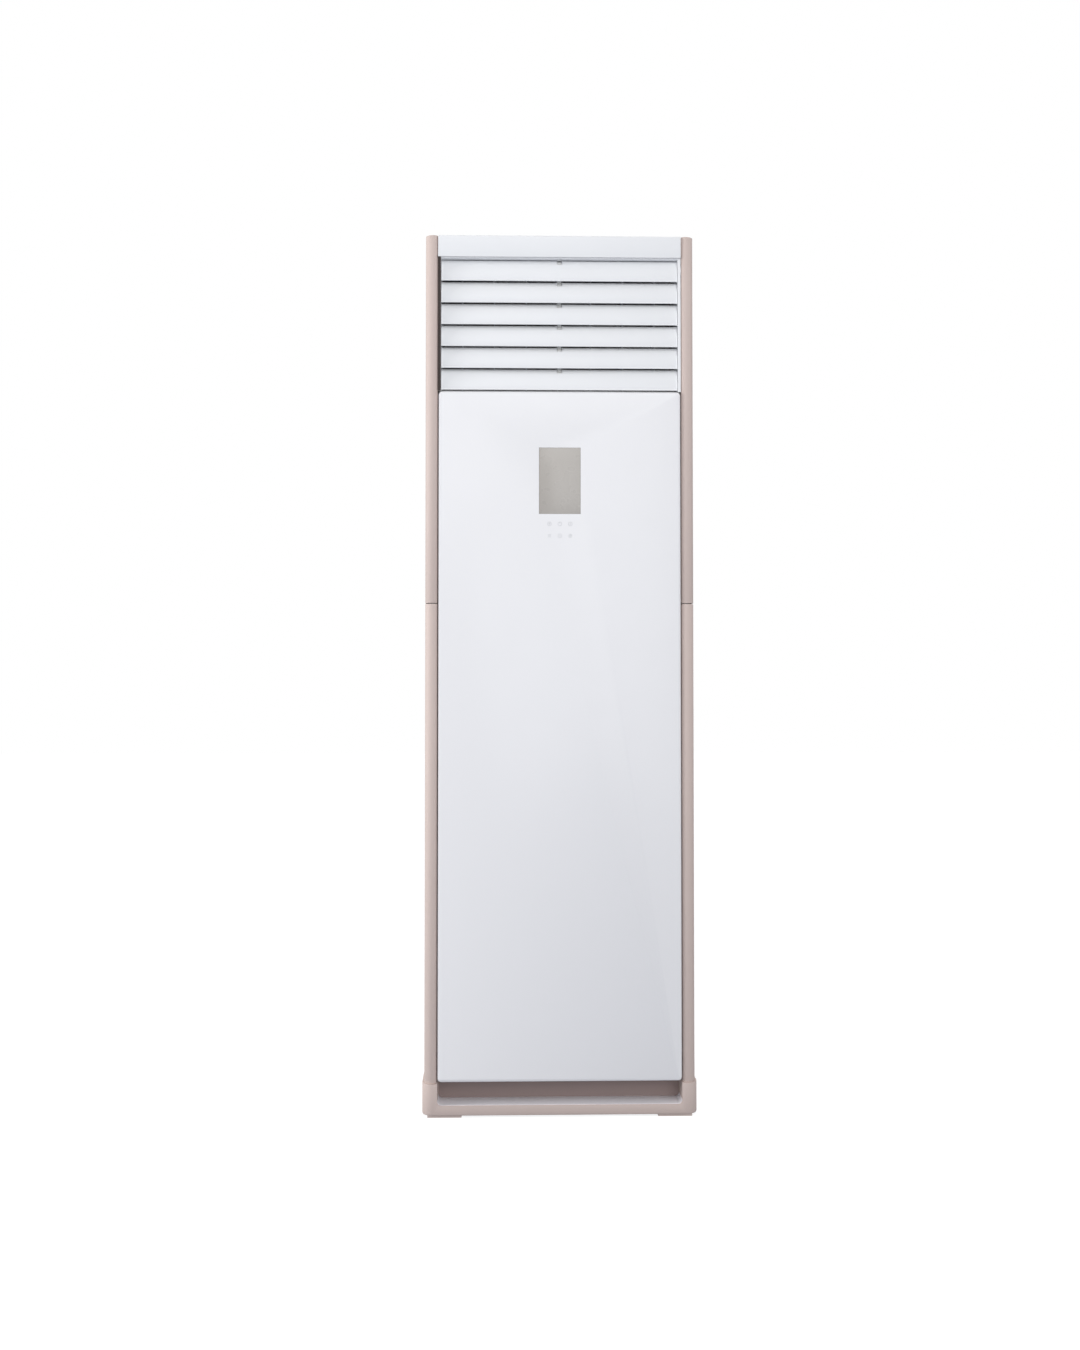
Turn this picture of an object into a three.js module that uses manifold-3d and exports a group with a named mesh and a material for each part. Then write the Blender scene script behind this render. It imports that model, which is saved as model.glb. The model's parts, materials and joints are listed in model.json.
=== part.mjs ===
// A floor standing air conditioner: a tall cabinet that draws room air in at its lower sides, blows it up
// through a slanted coil and out at the top, between linked louvre blades.
// Millimetres. X runs across, Y from the front (-) to the back (+), Z up. The origin is under the middle.
import * as THREE from "three";
import { mergeVertices } from "three/addons/utils/BufferGeometryUtils.js";
import Module from "manifold-3d";

const wasm = await Module();
wasm.setup();

// ---------------------------------------------------------------- driving dimensions
// Fits
const SEAT = 0.3; // gap between two pieces that rest on each other
const SHEET = 1.5; // thickness of the steel sheets
const WALL = 3; // thickness of the moulded plastic walls

// Plinth
const PLINTH_WIDTH = 550;
const PLINTH_DEPTH = 410;
const PLINTH_HEIGHT = 66;
const PLINTH_CORNER = 22;
const PLINTH_EDGE = 3.5;
const PLINTH_WALL = 5;
const PLINTH_STEP = 4; // how far the plinth stands out past the cabinet
const TOE_DEPTH = 58; // recess under the front panel
const TOE_LIP = 24; // height of the lip in front of the recess
const TOE_CORNER = 8;
const FOOT_HEIGHT = 4;
const FOOT_LENGTH = 68;
const FOOT_WIDTH = 40;

// Cabinet
const CABINET_TOP = 1769;
const CAP_HEIGHT = 44;
const CAP_EDGE = 4;
const COLUMN_WIDTH = 25;
const COLUMN_ROUND = 16; // plan radius of a column's outer corner
const COLUMN_RETURN = 42; // depth of a column's inner wall
const SIDE_SPLIT = 1022.5; // height of the seam between inlet panel and upper side panel
const SEAM = 1.5;
const REAR_TRAY = 52; // depth of the rear panel's returns
const REAR_BEND = 4;
const REAR_BEADS = 5; // stiffening beads across the rear panel
const POST_INSET = 6; // from a column's inner wall out to the post's web
const POST_SET_BACK = 8; // post's web behind the columns' inner walls

// Front panel
const PANEL_DEPTH = 14;
const PANEL_EDGE = 6;
const PANEL_CORNER = 8; // over the edge's rounding
const PANEL_PROUD = 2; // how far it stands out past the columns
const PANEL_GAP = 1.5;
const PANEL_LIFT = 3; // gap over the plinth
const PANEL_DROP = 0.9; // gap under the outlet duct
const PANEL_RIBS = 5;
const WINDOW_WIDTH = 84;
const WINDOW_HEIGHT = 134;
const WINDOW_DROP = 114; // from the panel's top edge to the window
const WINDOW_FLANGE = 5;
const BOARD = 1.6; // thickness of the circuit boards
const TOUCH_HEIGHT = 60; // strip of the display board below the window, behind the touch icons

// Outlet, louvres and vanes
const OUTLET_DEPTH = 137;
const OUTLET_DROP = 2.7; // from the cap down to the first blade's strip
const OUTLET_PLAY = 0.5; // left free above and below the bank of blades
const OUTLET_SILL = 12; // depth of the cut in the duct's floor under the lowest blade
const LOUVRE_COUNT = 6;
const LOUVRE_PITCH = 44.4;
const LOUVRE_CHORD = 42;
const LOUVRE_THICK = 7;
const LOUVRE_TILT = 15; // degrees, lower edge forward, closed
const LOUVRE_SET_BACK = 13; // pivot behind the cabinet's front
const LOUVRE_PIN = 3; // radius
const LOUVRE_END_GAP = 2;
const LOUVRE_FLARE = 1.4; // how much farther the lower edge reaches at each end
const CRANK_UP = 19; // crank pin from the pivot, along the chord
const CRANK_BACK = 7; // crank pin behind the chord
const CRANK_PIN = 1.8; // radius
const LINK_WIDTH = 8;
const LINK_THICK = 5;
const LINK_EYE = 4.5; // radius of the eyes
const PIN_PLAY = 0.5; // radial play of a pin in its hole
const VANE_COUNT = 7;
const VANE_PITCH = 66;
const VANE_SET_BACK = 79; // pivots behind the duct's front edge
const VANE_CHORD = 50;
const VANE_THICK = 2.4;
const VANE_PIN = 2.5;
const VANE_CRANK = 20; // crank pin behind the vane's pivot
const VANE_CRANK_PIN = 1.5;
const MOTOR_SMALL_R = 14;
const MOTOR_SMALL_LENGTH = 18;
const MOTOR_SHAFT_OFFSET = 8; // shaft beside the middle of the small motors

// Fan
const FAN_RADIUS = 160;
const FAN_INNER = 134;
const FAN_SET_BACK = 112; // from the posts' webs to the wheel
const FAN_BLADES = 32;
const FAN_DISC = 2; // thickness of the wheel's back disc
const FAN_HUB_DEPTH = 34; // reach of the hub in front of the disc
const SCROLL_GAP = 10; // from the wheel to the tongue
const SCROLL_GROWTH = 58;
const SCROLL_TONGUE = 60; // degrees above the horizontal
const SCROLL_FRONT = 7; // from the wheel to the front plate
const SCROLL_BACK = 27; // from the wheel to the back plate
const SCROLL_FLOOR = 110; // from the base plate to the lowest point of the scroll
const SCROLL_NECK = 318; // from the fan's axis up to the partition
const SHAFT_RADIUS = 6;
const HUB_RADIUS = 22;
const MOTOR_RADIUS = 60;
const MOTOR_LENGTH = 62;
const MOTOR_ROOM = 11; // between the motor and the rear panel
const MOUNT_REACH = 60; // how far the mount's arms reach past the motor

// Coil
const COIL_BENDS = 24; // room beside the fins for the tubes' bends
const COIL_LENGTH = 540;
const COIL_THICK = 45;
const COIL_BACK_ROOM = 34; // from the coil's upper end to the back of its chamber
const HEADER_RADIUS = 8;
const HEADER_REACH = 11; // suction header's axis beside the coil's end plate
const HEADER_LOW = 60; // lower end, along the coil
const HEADER_DROP = 100; // upper end below the coil's upper end
const HEADER_CIRCUITS = 5;
const COIL_LIFT = 80; // from the partition to the coil's lower end
const COIL_SET_BACK = 33; // from the chamber's front plate to the middle of the coil's lower end
const CHAMBER_GAP = 2; // between the chamber's sides and the posts
const CHAMBER_SET_BACK = 74; // chamber front plate behind the cabinet's front
const PAN_HEIGHT = 34;
const PAN_DEPTH = 72;
const PAN_DROP = 30; // pan's underside below the coil's lower end
const SPIGOT = 14; // length of the pan's outlet
const HOSE_RADIUS = 9;
const HOSE_BEND = 40;
const HOSE_INSET = 31; // from the pan's left end
const HOSE_SET_BACK = 35; // behind the chamber's front plate
const GAS_PIPE = 7.9; // radii
const LIQUID_PIPE = 4.8;
const PIPE_BEND = 26;
const PIPE_HOLE = 36; // radius of the hole in the rear panel for the pipes
const PIPE_HOLE_INSET = 66; // from the cabinet's right side
const PIPE_HOLE_Z = 170;
const PIPE_RISE = 120; // pipe ends above the hole
const GAS_ROOM = 42; // from the rear panel to the gas pipe's axis
const LIQUID_ROOM = 14; // from the rear panel to the liquid pipe's axis
const LIQUID_DROP = 20; // liquid pipe's joint below the coil's upper end

// Electrical
const BOX_WIDTH = 220;
const BOX_HEIGHT = 290;
const BOX_DEPTH = 46;
const BOX_LIFT = 90; // above the partition
const BOARD_LIFT = 120; // main board above the box's floor
const BOARD_MARGIN = 16; // between the main board and the box's walls
const GLAND_RADIUS = 9;
const GLAND_INSET = 66; // from the cabinet's left side
const GLAND_Z = 140;

// Inlet panels and filters
const SLOT_PITCH = 24;
const SLOT_HEIGHT = 10;
const SLOT_MARGIN = 19; // ends of the slots inside the filter's ends
const SLOT_ROWS = 24;
const SLOT_LIFT = 46; // first slot above the panel's lower edge
const FILTER_THICK = 3.5;
const FILTER_HEIGHT = 596;
const FILTER_FRONT_GAP = 40.5; // from the column's inner wall to the filter
const FILTER_REAR_GAP = 22.5; // from the filter to the side wall's rear edge
const FILTER_LIFT = 18; // above the inlet panel's lower edge
const FILTER_INSET = 4; // between the side wall and the filter
const RAIL_DEPTH = 14;

// ---------------------------------------------------------------- derived places
const PLINTH_HALF = PLINTH_WIDTH / 2;
const FRONT = -PLINTH_DEPTH / 2 + PLINTH_STEP;
const BACK = PLINTH_DEPTH / 2 - WALL;
const CABINET_HALF = PLINTH_HALF - PLINTH_STEP;
const COLUMN_INNER = CABINET_HALF - COLUMN_WIDTH;
const PANEL_HALF = COLUMN_INNER - PANEL_GAP;
const SIDE_BACK = BACK - REAR_TRAY;

const CAP_BOTTOM = CABINET_TOP - CAP_HEIGHT;
const OUTLET_TOP = CAP_BOTTOM - OUTLET_DROP;
const OUTLET_BOTTOM = OUTLET_TOP - LOUVRE_COUNT * LOUVRE_PITCH;
const DUCT_INNER_BOTTOM = OUTLET_BOTTOM - OUTLET_PLAY;
const DUCT_INNER_TOP = OUTLET_TOP + OUTLET_PLAY;
const DUCT_BOTTOM = DUCT_INNER_BOTTOM - WALL;
const DUCT_TOP = DUCT_INNER_TOP + WALL;
const DUCT_FRONT = FRONT + WALL + 1;
const DUCT_BACK = DUCT_FRONT + OUTLET_DEPTH;
const DUCT_HALF = COLUMN_INNER - WALL; // outer face of the duct's cheeks
const LOUVRE_Y = FRONT + LOUVRE_SET_BACK;
const LOUVRE_HALF = DUCT_HALF - WALL - LOUVRE_END_GAP;
const VANE_Y = DUCT_FRONT + VANE_SET_BACK;

const PANEL_BOTTOM = PLINTH_HEIGHT + PANEL_LIFT;
const PANEL_TOP = DUCT_BOTTOM - PANEL_DROP;
const PANEL_FRONT = FRONT - PANEL_PROUD;
const PANEL_BACK = PANEL_FRONT + PANEL_DEPTH;
const WINDOW_TOP = PANEL_TOP - WINDOW_DROP;
const WINDOW_BOTTOM = WINDOW_TOP - WINDOW_HEIGHT;

const PLATE_BOTTOM = PLINTH_HEIGHT + SEAT;
const PLATE_TOP = PLATE_BOTTOM + SHEET;
const POST_X = COLUMN_INNER - POST_INSET;
const POST_WEB = FRONT + WALL + COLUMN_RETURN + POST_SET_BACK; // front face of the posts' webs
const INNER_HALF = CABINET_HALF - WALL - RAIL_DEPTH; // half width left free between the inlet panels' rails

const SCROLL_INNER = FAN_RADIUS + SCROLL_GAP;
const SCROLL_OUTER = SCROLL_INNER + SCROLL_GROWTH;
const SCROLL_NECK_X = SCROLL_INNER * Math.cos(THREE.MathUtils.degToRad(SCROLL_TONGUE));
const FAN_Z = PLATE_TOP + SCROLL_FLOOR + scrollRadius(1.5 * Math.PI) + WALL;
const PARTITION = FAN_Z + SCROLL_NECK;
const PARTITION_TOP = PARTITION + SHEET;
const CHAMBER_FRONT = FRONT + CHAMBER_SET_BACK;
const CHAMBER_HALF = POST_X - CHAMBER_GAP;
const CHAMBER_BACK = BACK - SHEET - SEAT;
const PAN_HALF = CHAMBER_HALF - SHEET - SEAT;
const PAN_BOTTOM = PARTITION_TOP + COIL_LIFT - PAN_DROP;
const COIL_Y = CHAMBER_FRONT + COIL_SET_BACK;
const COIL_Z = PARTITION_TOP + COIL_LIFT;
const COIL_HALF = PAN_HALF - WALL - SEAT; // half width inside the pan's walls
const COIL_LEFT = -COIL_HALF + SHEET + SEAT;
const COIL_RIGHT = COIL_HALF - COIL_BENDS;
const COIL_TILT = Math.asin((CHAMBER_BACK - COIL_BACK_ROOM - COIL_THICK / 2 - COIL_Y) / COIL_LENGTH);
const HEADER_X = COIL_RIGHT + SHEET + HEADER_REACH;
const HOSE_X = -PAN_HALF + HOSE_INSET;
const HOSE_Y = CHAMBER_FRONT + HOSE_SET_BACK;
const PIPE_HOLE_X = CABINET_HALF - PIPE_HOLE_INSET;
const GLAND_X = -CABINET_HALF + GLAND_INSET;
const BOX_BACK = CHAMBER_FRONT - SEAT;
const BOX_BOTTOM = PARTITION_TOP + BOX_LIFT;
const FILTER_Y0 = FRONT + COLUMN_RETURN + FILTER_FRONT_GAP;
const FILTER_Y1 = SIDE_BACK - FILTER_REAR_GAP;
const FILTER_OUTER = CABINET_HALF - WALL - FILTER_INSET;
const FILTER_BOTTOM = PLATE_BOTTOM + FILTER_LIFT;
const FAN_FRONT = POST_WEB + FAN_SET_BACK;
const SCROLL_Y0 = FAN_FRONT - SCROLL_FRONT;
const MOTOR_FRONT = BACK - SHEET - MOTOR_ROOM - MOTOR_LENGTH;
const SCROLL_Y1 = MOTOR_FRONT - WALL - 2 * SHEET - 2 * SEAT;
const FAN_BACK = SCROLL_Y1 - SCROLL_BACK;

// ---------------------------------------------------------------- materials
function finish(color, roughness, metalness = 0) {
  return new THREE.MeshStandardMaterial({ color, roughness, metalness, flatShading: true });
}
const taupePlastic = finish(0xd6cac4, 0.5);
const whitePanel = finish(0xf1f1f2, 0.15);
const whitePlastic = finish(0xeceded, 0.4);
const windowGrey = finish(0xb2aea8, 0.2);
const galvanised = finish(0xb9bcbe, 0.45, 0.9);
const paintedSteel = finish(0xd9d4d0, 0.5, 0.2);
const darkPlastic = finish(0x303236, 0.6);
const aluminium = finish(0xc8cacc, 0.4, 1);
const copper = finish(0xc07a4a, 0.35, 1);
const brass = finish(0xcaa55a, 0.35, 1);
const steel = finish(0xa9abad, 0.3, 1);
const circuitGreen = finish(0x2f6b45, 0.5);
const filterGrey = finish(0x8b9094, 0.8);
const hoseGrey = finish(0xc9ccce, 0.7);

// ---------------------------------------------------------------- solids
function solid(geometry) {
  const bare = geometry.clone();
  bare.deleteAttribute("normal");
  bare.deleteAttribute("uv");
  const merged = mergeVertices(bare, 1e-4);
  const index = merged.index.array;
  const triVerts = [];
  for (let i = 0; i < index.length; i += 3) {
    const [a, b, c] = [index[i], index[i + 1], index[i + 2]];
    if (a !== b && b !== c && c !== a) triVerts.push(a, b, c);
  }
  return new wasm.Manifold(
    new wasm.Mesh({
      numProp: 3,
      vertProperties: merged.attributes.position.array,
      triVerts: new Uint32Array(triVerts),
    }),
  );
}

function join(...bodies) {
  return bodies.flat().reduce((whole, body) => whole.add(body));
}

function cut(body, ...tools) {
  return tools.flat().reduce((whole, tool) => whole.subtract(tool), body);
}

function mesh(name, body, material) {
  const made = body.getMesh();
  const geometry = new THREE.BufferGeometry();
  geometry.setAttribute("position", new THREE.BufferAttribute(made.vertProperties, 3));
  geometry.setIndex(new THREE.BufferAttribute(made.triVerts, 1));
  geometry.computeVertexNormals();
  const result = new THREE.Mesh(geometry, material);
  result.name = name;
  return result;
}

// A box from three ranges, each given either way round.
function block(x, y, z) {
  const size = [x, y, z].map(([a, b]) => Math.abs(b - a));
  const middle = [x, y, z].map(([a, b]) => (a + b) / 2);
  return solid(new THREE.BoxGeometry(...size).translate(...middle));
}

// Where a profile's own axes u, v and its extrusion go, for a profile extruded along x, y or z.
const BASES = {
  x: [new THREE.Vector3(0, 1, 0), new THREE.Vector3(0, 0, 1), new THREE.Vector3(1, 0, 0)],
  y: [new THREE.Vector3(1, 0, 0), new THREE.Vector3(0, 0, 1), new THREE.Vector3(0, -1, 0)],
  z: [new THREE.Vector3(1, 0, 0), new THREE.Vector3(0, 1, 0), new THREE.Vector3(0, 0, 1)],
};

// A profile extruded between two places on an axis: (y, z) along x, (x, z) along y, (x, y) along z.
// A rounding bevels both ends inside the given length and outline.
function extrusion(axis, shape, from, to, rounding = 0, curveSegments = 4) {
  const geometry = new THREE.ExtrudeGeometry(shape, {
    depth: Math.abs(to - from) - 2 * rounding,
    bevelEnabled: rounding > 0,
    bevelThickness: rounding,
    bevelSize: rounding,
    bevelOffset: -rounding,
    bevelSegments: 2,
    curveSegments,
  });
  const place = new THREE.Matrix4().makeBasis(...BASES[axis]);
  const start = axis === "y" ? -Math.max(from, to) : Math.min(from, to);
  place.multiply(new THREE.Matrix4().makeTranslation(0, 0, start + rounding));
  return geometry.applyMatrix4(place);
}

function prism(...profile) {
  return solid(extrusion(...profile));
}

// A round bar along an axis; at holds its other two coordinates.
function rod(axis, radius, from, to, at, sides = 12) {
  const geometry = new THREE.CylinderGeometry(radius, radius, Math.abs(to - from), sides);
  const middle = (from + to) / 2;
  if (axis === "x") geometry.rotateZ(-Math.PI / 2).translate(middle, at[0], at[1]);
  if (axis === "y") geometry.translate(at[0], middle, at[1]);
  if (axis === "z") geometry.rotateX(Math.PI / 2).translate(at[0], at[1], middle);
  return solid(geometry);
}

function outline(points) {
  return new THREE.Shape(points.map(([u, v]) => new THREE.Vector2(u, v)));
}

// The radii run round from the (low u, low v) corner, counter-clockwise.
function roundedRectangle([u0, u1], [v0, v1], radii) {
  const [a, b, c, d] = Array.isArray(radii) ? radii : [radii, radii, radii, radii];
  const shape = new THREE.Shape();
  shape.moveTo(u0 + a, v0);
  shape.lineTo(u1 - b, v0);
  if (b) shape.absarc(u1 - b, v0 + b, b, -Math.PI / 2, 0);
  shape.lineTo(u1, v1 - c);
  if (c) shape.absarc(u1 - c, v1 - c, c, 0, Math.PI / 2);
  shape.lineTo(u0 + d, v1);
  if (d) shape.absarc(u0 + d, v1 - d, d, Math.PI / 2, Math.PI);
  shape.lineTo(u0, v0 + a);
  if (a) shape.absarc(u0 + a, v0 + a, a, Math.PI, 1.5 * Math.PI);
  return shape;
}

// The same profile on the left side for side = -1.
function onSide(shape, side, divisions = 4) {
  return outline(shape.getPoints(divisions).map((p) => [side * p.x, p.y]));
}

// A pipe through points: straight bars with swept elbows of one bend radius between them.
function pipe(points, radius, bend, sides = 8) {
  const corners = points.map((p) => new THREE.Vector3(...p));
  const pieces = [];
  let start = corners[0];
  for (let i = 1; i < corners.length; i++) {
    const along = corners[i].clone().sub(start).normalize();
    let end = corners[i];
    if (i < corners.length - 1) {
      const onward = corners[i + 1].clone().sub(corners[i]).normalize();
      end = corners[i].clone().addScaledVector(along, -bend);
      const after = corners[i].clone().addScaledVector(onward, bend);
      const elbow = new THREE.QuadraticBezierCurve3(end, corners[i], after);
      const section = new THREE.Shape().absarc(0, 0, radius, 0, 2 * Math.PI);
      pieces.push(
        solid(
          new THREE.ExtrudeGeometry(section, {
            steps: 4,
            bevelEnabled: false,
            curveSegments: sides,
            extrudePath: elbow,
          }),
        ),
      );
      pieces.push(bar(start, end.clone().addScaledVector(along, 0.5), radius, sides));
      start = after.clone().addScaledVector(onward, -0.5);
    } else {
      pieces.push(bar(start, end, radius, sides));
    }
  }
  return join(pieces);
}

function bar(from, to, radius, sides) {
  const length = from.distanceTo(to);
  const geometry = new THREE.CylinderGeometry(radius, radius, length, sides);
  const turn = new THREE.Quaternion().setFromUnitVectors(
    new THREE.Vector3(0, 1, 0),
    to.clone().sub(from).normalize(),
  );
  geometry.applyQuaternion(turn);
  const middle = from.clone().add(to).multiplyScalar(0.5);
  return solid(geometry.translate(middle.x, middle.y, middle.z));
}

function scrollRadius(angle) {
  const tongue = THREE.MathUtils.degToRad(SCROLL_TONGUE);
  return SCROLL_INNER + (SCROLL_GROWTH * (angle - tongue)) / (2 * Math.PI - tongue);
}

// ---------------------------------------------------------------- cabinet
// A moulded plinth, open underneath, with a toe recess in front, ribs and four foot pads.
function plinth() {
  const front = -PLINTH_DEPTH / 2;
  const back = PLINTH_DEPTH / 2;
  const radii = [PLINTH_CORNER, PLINTH_CORNER, PLINTH_CORNER / 2, PLINTH_CORNER / 2];
  const plan = roundedRectangle([-PLINTH_HALF, PLINTH_HALF], [front, back], radii);
  const tall = prism("z", plan, FOOT_HEIGHT, PLINTH_HEIGHT + 2 * PLINTH_EDGE, PLINTH_EDGE);
  const toeBack = FRONT - PLINTH_STEP + TOE_DEPTH;
  const toe = roundedRectangle(
    [-PANEL_HALF, PANEL_HALF],
    [TOE_LIP, PLINTH_HEIGHT + 2 * TOE_CORNER],
    TOE_CORNER,
  );
  const above = block(
    [-PLINTH_WIDTH, PLINTH_WIDTH],
    [2 * front, 2 * back],
    [PLINTH_HEIGHT, 2 * PLINTH_HEIGHT],
  );
  const shell = cut(tall, above, prism("y", toe, front - 1, toeBack));
  return join(cut(shell, plinthHollows(toeBack)), footPads());
}

function plinthHollows(toeBack) {
  const cells = 4;
  const inner = PLINTH_HALF - PLINTH_WALL;
  const under = [-1, PLINTH_HEIGHT - PLINTH_WALL];
  const deep = [toeBack + PLINTH_WALL, PLINTH_DEPTH / 2 - PLINTH_WALL - 3];
  const shallow = [-PLINTH_DEPTH / 2 + PLINTH_WALL, toeBack + PLINTH_WALL - 1];
  const hollows = [];
  for (let i = 0; i < cells; i++) {
    const [a, b] = [0, 1].map((end) => -inner + ((i + end) * 2 * inner) / cells);
    const across = [a + PLINTH_WALL / 2, b - PLINTH_WALL / 2];
    hollows.push(block(across, deep, under));
    const lipLow = Math.max(across[0], -PANEL_HALF + TOE_CORNER);
    const lipHigh = Math.min(across[1], PANEL_HALF - TOE_CORNER);
    hollows.push(block([lipLow, lipHigh], shallow, [-1, TOE_LIP - PLINTH_WALL]));
  }
  return hollows;
}

function footPads() {
  const pads = [];
  const x = PLINTH_HALF - PLINTH_CORNER / 2;
  const y = PLINTH_DEPTH / 2 - PLINTH_EDGE;
  for (const side of [-1, 1]) {
    for (const end of [-1, 1]) {
      const across = [side * x, side * (x - FOOT_LENGTH)];
      pads.push(block(across, [end * y, end * (y - FOOT_WIDTH)], [0, FOOT_HEIGHT + PLINTH_EDGE]));
    }
  }
  return pads;
}

function basePlate() {
  const half = INNER_HALF - 1;
  return block([-half, half], [POST_WEB, BACK - SHEET - SEAT], [PLATE_BOTTOM, PLATE_TOP]);
}

// A folded steel post: a web across the column, a flange forward and a lip behind the front panel's rim.
function post(side) {
  const web = POST_X;
  const lip = PANEL_BACK + SEAT;
  const profile = outline([
    [PANEL_HALF, lip],
    [PANEL_HALF, lip + SHEET],
    [web + SHEET, lip + SHEET],
    [web + SHEET, POST_WEB],
    [CABINET_HALF - WALL - 1, POST_WEB],
    [CABINET_HALF - WALL - 1, POST_WEB + SHEET],
    [web, POST_WEB + SHEET],
    [web, lip],
  ]);
  return prism("z", onSide(profile, side), PLATE_TOP + SEAT, DUCT_BOTTOM - SEAT);
}

// Plan of a side moulding: a hollow rounded column in front, a flat side wall and a rear flange.
function sideProfile() {
  const inward = COLUMN_WIDTH - COLUMN_ROUND;
  const nose = COLUMN_INNER + inward;
  const shape = new THREE.Shape();
  shape.moveTo(COLUMN_INNER, FRONT + COLUMN_RETURN + inward);
  shape.lineTo(COLUMN_INNER, FRONT + inward);
  shape.absarc(nose, FRONT + inward, inward, Math.PI, 1.5 * Math.PI);
  shape.absarc(nose, FRONT + COLUMN_ROUND, COLUMN_ROUND, 1.5 * Math.PI, 2 * Math.PI);
  shape.lineTo(CABINET_HALF, SIDE_BACK);
  shape.lineTo(CABINET_HALF - 4 * WALL, SIDE_BACK);
  shape.lineTo(CABINET_HALF - 4 * WALL, SIDE_BACK - WALL);
  shape.lineTo(CABINET_HALF - WALL, SIDE_BACK - WALL);
  shape.lineTo(CABINET_HALF - WALL, FRONT + COLUMN_ROUND);
  shape.absarc(nose, FRONT + COLUMN_ROUND, COLUMN_ROUND - WALL, 0, -Math.PI / 2, true);
  shape.absarc(nose, FRONT + inward, inward - WALL, 1.5 * Math.PI, Math.PI, true);
  shape.lineTo(COLUMN_INNER + WALL, FRONT + COLUMN_RETURN + inward);
  return shape;
}

// The area that the column's cap covers, as far back as the side wall goes.
function columnCap() {
  const inward = COLUMN_WIDTH - COLUMN_ROUND;
  const nose = COLUMN_INNER + inward;
  const shape = new THREE.Shape();
  shape.moveTo(COLUMN_INNER, SIDE_BACK);
  shape.lineTo(COLUMN_INNER, FRONT + inward);
  shape.absarc(nose, FRONT + inward, inward, Math.PI, 1.5 * Math.PI);
  shape.absarc(nose, FRONT + COLUMN_ROUND, COLUMN_ROUND, 1.5 * Math.PI, 2 * Math.PI);
  shape.lineTo(CABINET_HALF, SIDE_BACK);
  return shape;
}

function upperSidePanel(side) {
  const top = CABINET_TOP - 1;
  const wall = prism("z", onSide(sideProfile(), side), SIDE_SPLIT + SEAM, top - WALL / 2);
  const cap = prism("z", onSide(columnCap(), side), top - WALL, top);
  const panel = join(wall, cap);
  if (side < 0) return panel;
  const y = LOUVRE_Y + MOTOR_SMALL_R + MOTOR_SHAFT_OFFSET;
  const window = block(
    [COLUMN_INNER - 1, COLUMN_INNER + WALL + 1],
    [y - 2 * MOTOR_SMALL_R - 1, y + MOTOR_SMALL_R],
    [louvreZ(0) - MOTOR_SMALL_R - 2, louvreZ(0) + MOTOR_SMALL_R + 2],
  );
  return cut(panel, window);
}

// A steel tray in plan, with stiffening beads across its back and holes for pipes and mains.
function rearPanel() {
  const top = CABINET_TOP - WALL - SEAT;
  const outer = roundedRectangle(
    [-CABINET_HALF, CABINET_HALF],
    [SIDE_BACK + SEAT, BACK],
    [0, 0, REAR_BEND, REAR_BEND],
  );
  const inner = roundedRectangle(
    [-CABINET_HALF + SHEET, CABINET_HALF - SHEET],
    [SIDE_BACK - 1, BACK - SHEET],
    [0, 0, REAR_BEND - SHEET, REAR_BEND - SHEET],
  );
  const tray = cut(
    prism("z", outer, PLATE_BOTTOM, top),
    prism("z", inner, PLATE_BOTTOM - 1, top + 1),
  );
  const beads = [];
  for (let i = 1; i <= REAR_BEADS; i++) {
    const z = PLINTH_HEIGHT + (i * (top - PLINTH_HEIGHT)) / (REAR_BEADS + 1);
    const bead = outline([
      [BACK - SHEET / 2, z - 12],
      [BACK - SHEET / 2, z + 12],
      [BACK + 2, z + 8],
      [BACK + 2, z - 8],
    ]);
    beads.push(prism("x", bead, -CABINET_HALF * 0.75, CABINET_HALF * 0.75));
  }
  const holes = [
    rod("y", GLAND_RADIUS + PIN_PLAY, BACK - 10, BACK + 5, [GLAND_X, GLAND_Z], 16),
    rod("y", PIPE_HOLE, BACK - 10, BACK + 5, [PIPE_HOLE_X, PIPE_HOLE_Z], 24),
  ];
  return cut(join(tray, beads), holes);
}

// Fascia and top in one moulding, between the columns and wider behind them.
function topCover() {
  const inner = CAP_EDGE - 1;
  const profile = new THREE.Shape();
  profile.moveTo(FRONT, CAP_BOTTOM);
  profile.lineTo(FRONT + WALL, CAP_BOTTOM);
  profile.lineTo(FRONT + WALL, CABINET_TOP - WALL - inner);
  profile.absarc(FRONT + WALL + inner, CABINET_TOP - WALL - inner, inner, Math.PI, Math.PI / 2, true);
  profile.lineTo(BACK, CABINET_TOP - WALL);
  profile.lineTo(BACK, CABINET_TOP);
  profile.lineTo(FRONT + CAP_EDGE, CABINET_TOP);
  profile.absarc(FRONT + CAP_EDGE, CABINET_TOP - CAP_EDGE, CAP_EDGE, Math.PI / 2, Math.PI);
  const half = COLUMN_INNER - SEAT;
  const ears = block(
    [-CABINET_HALF, CABINET_HALF],
    [SIDE_BACK + SEAT, BACK],
    [CABINET_TOP - WALL, CABINET_TOP],
  );
  const skirts = [-1, 1].map((side) =>
    block([side * half, side * (half - WALL)], [FRONT + 1, SIDE_BACK], [DUCT_TOP + 4, CABINET_TOP - 1]),
  );
  return join(prism("x", profile, -half, half), ears, skirts);
}

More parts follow.
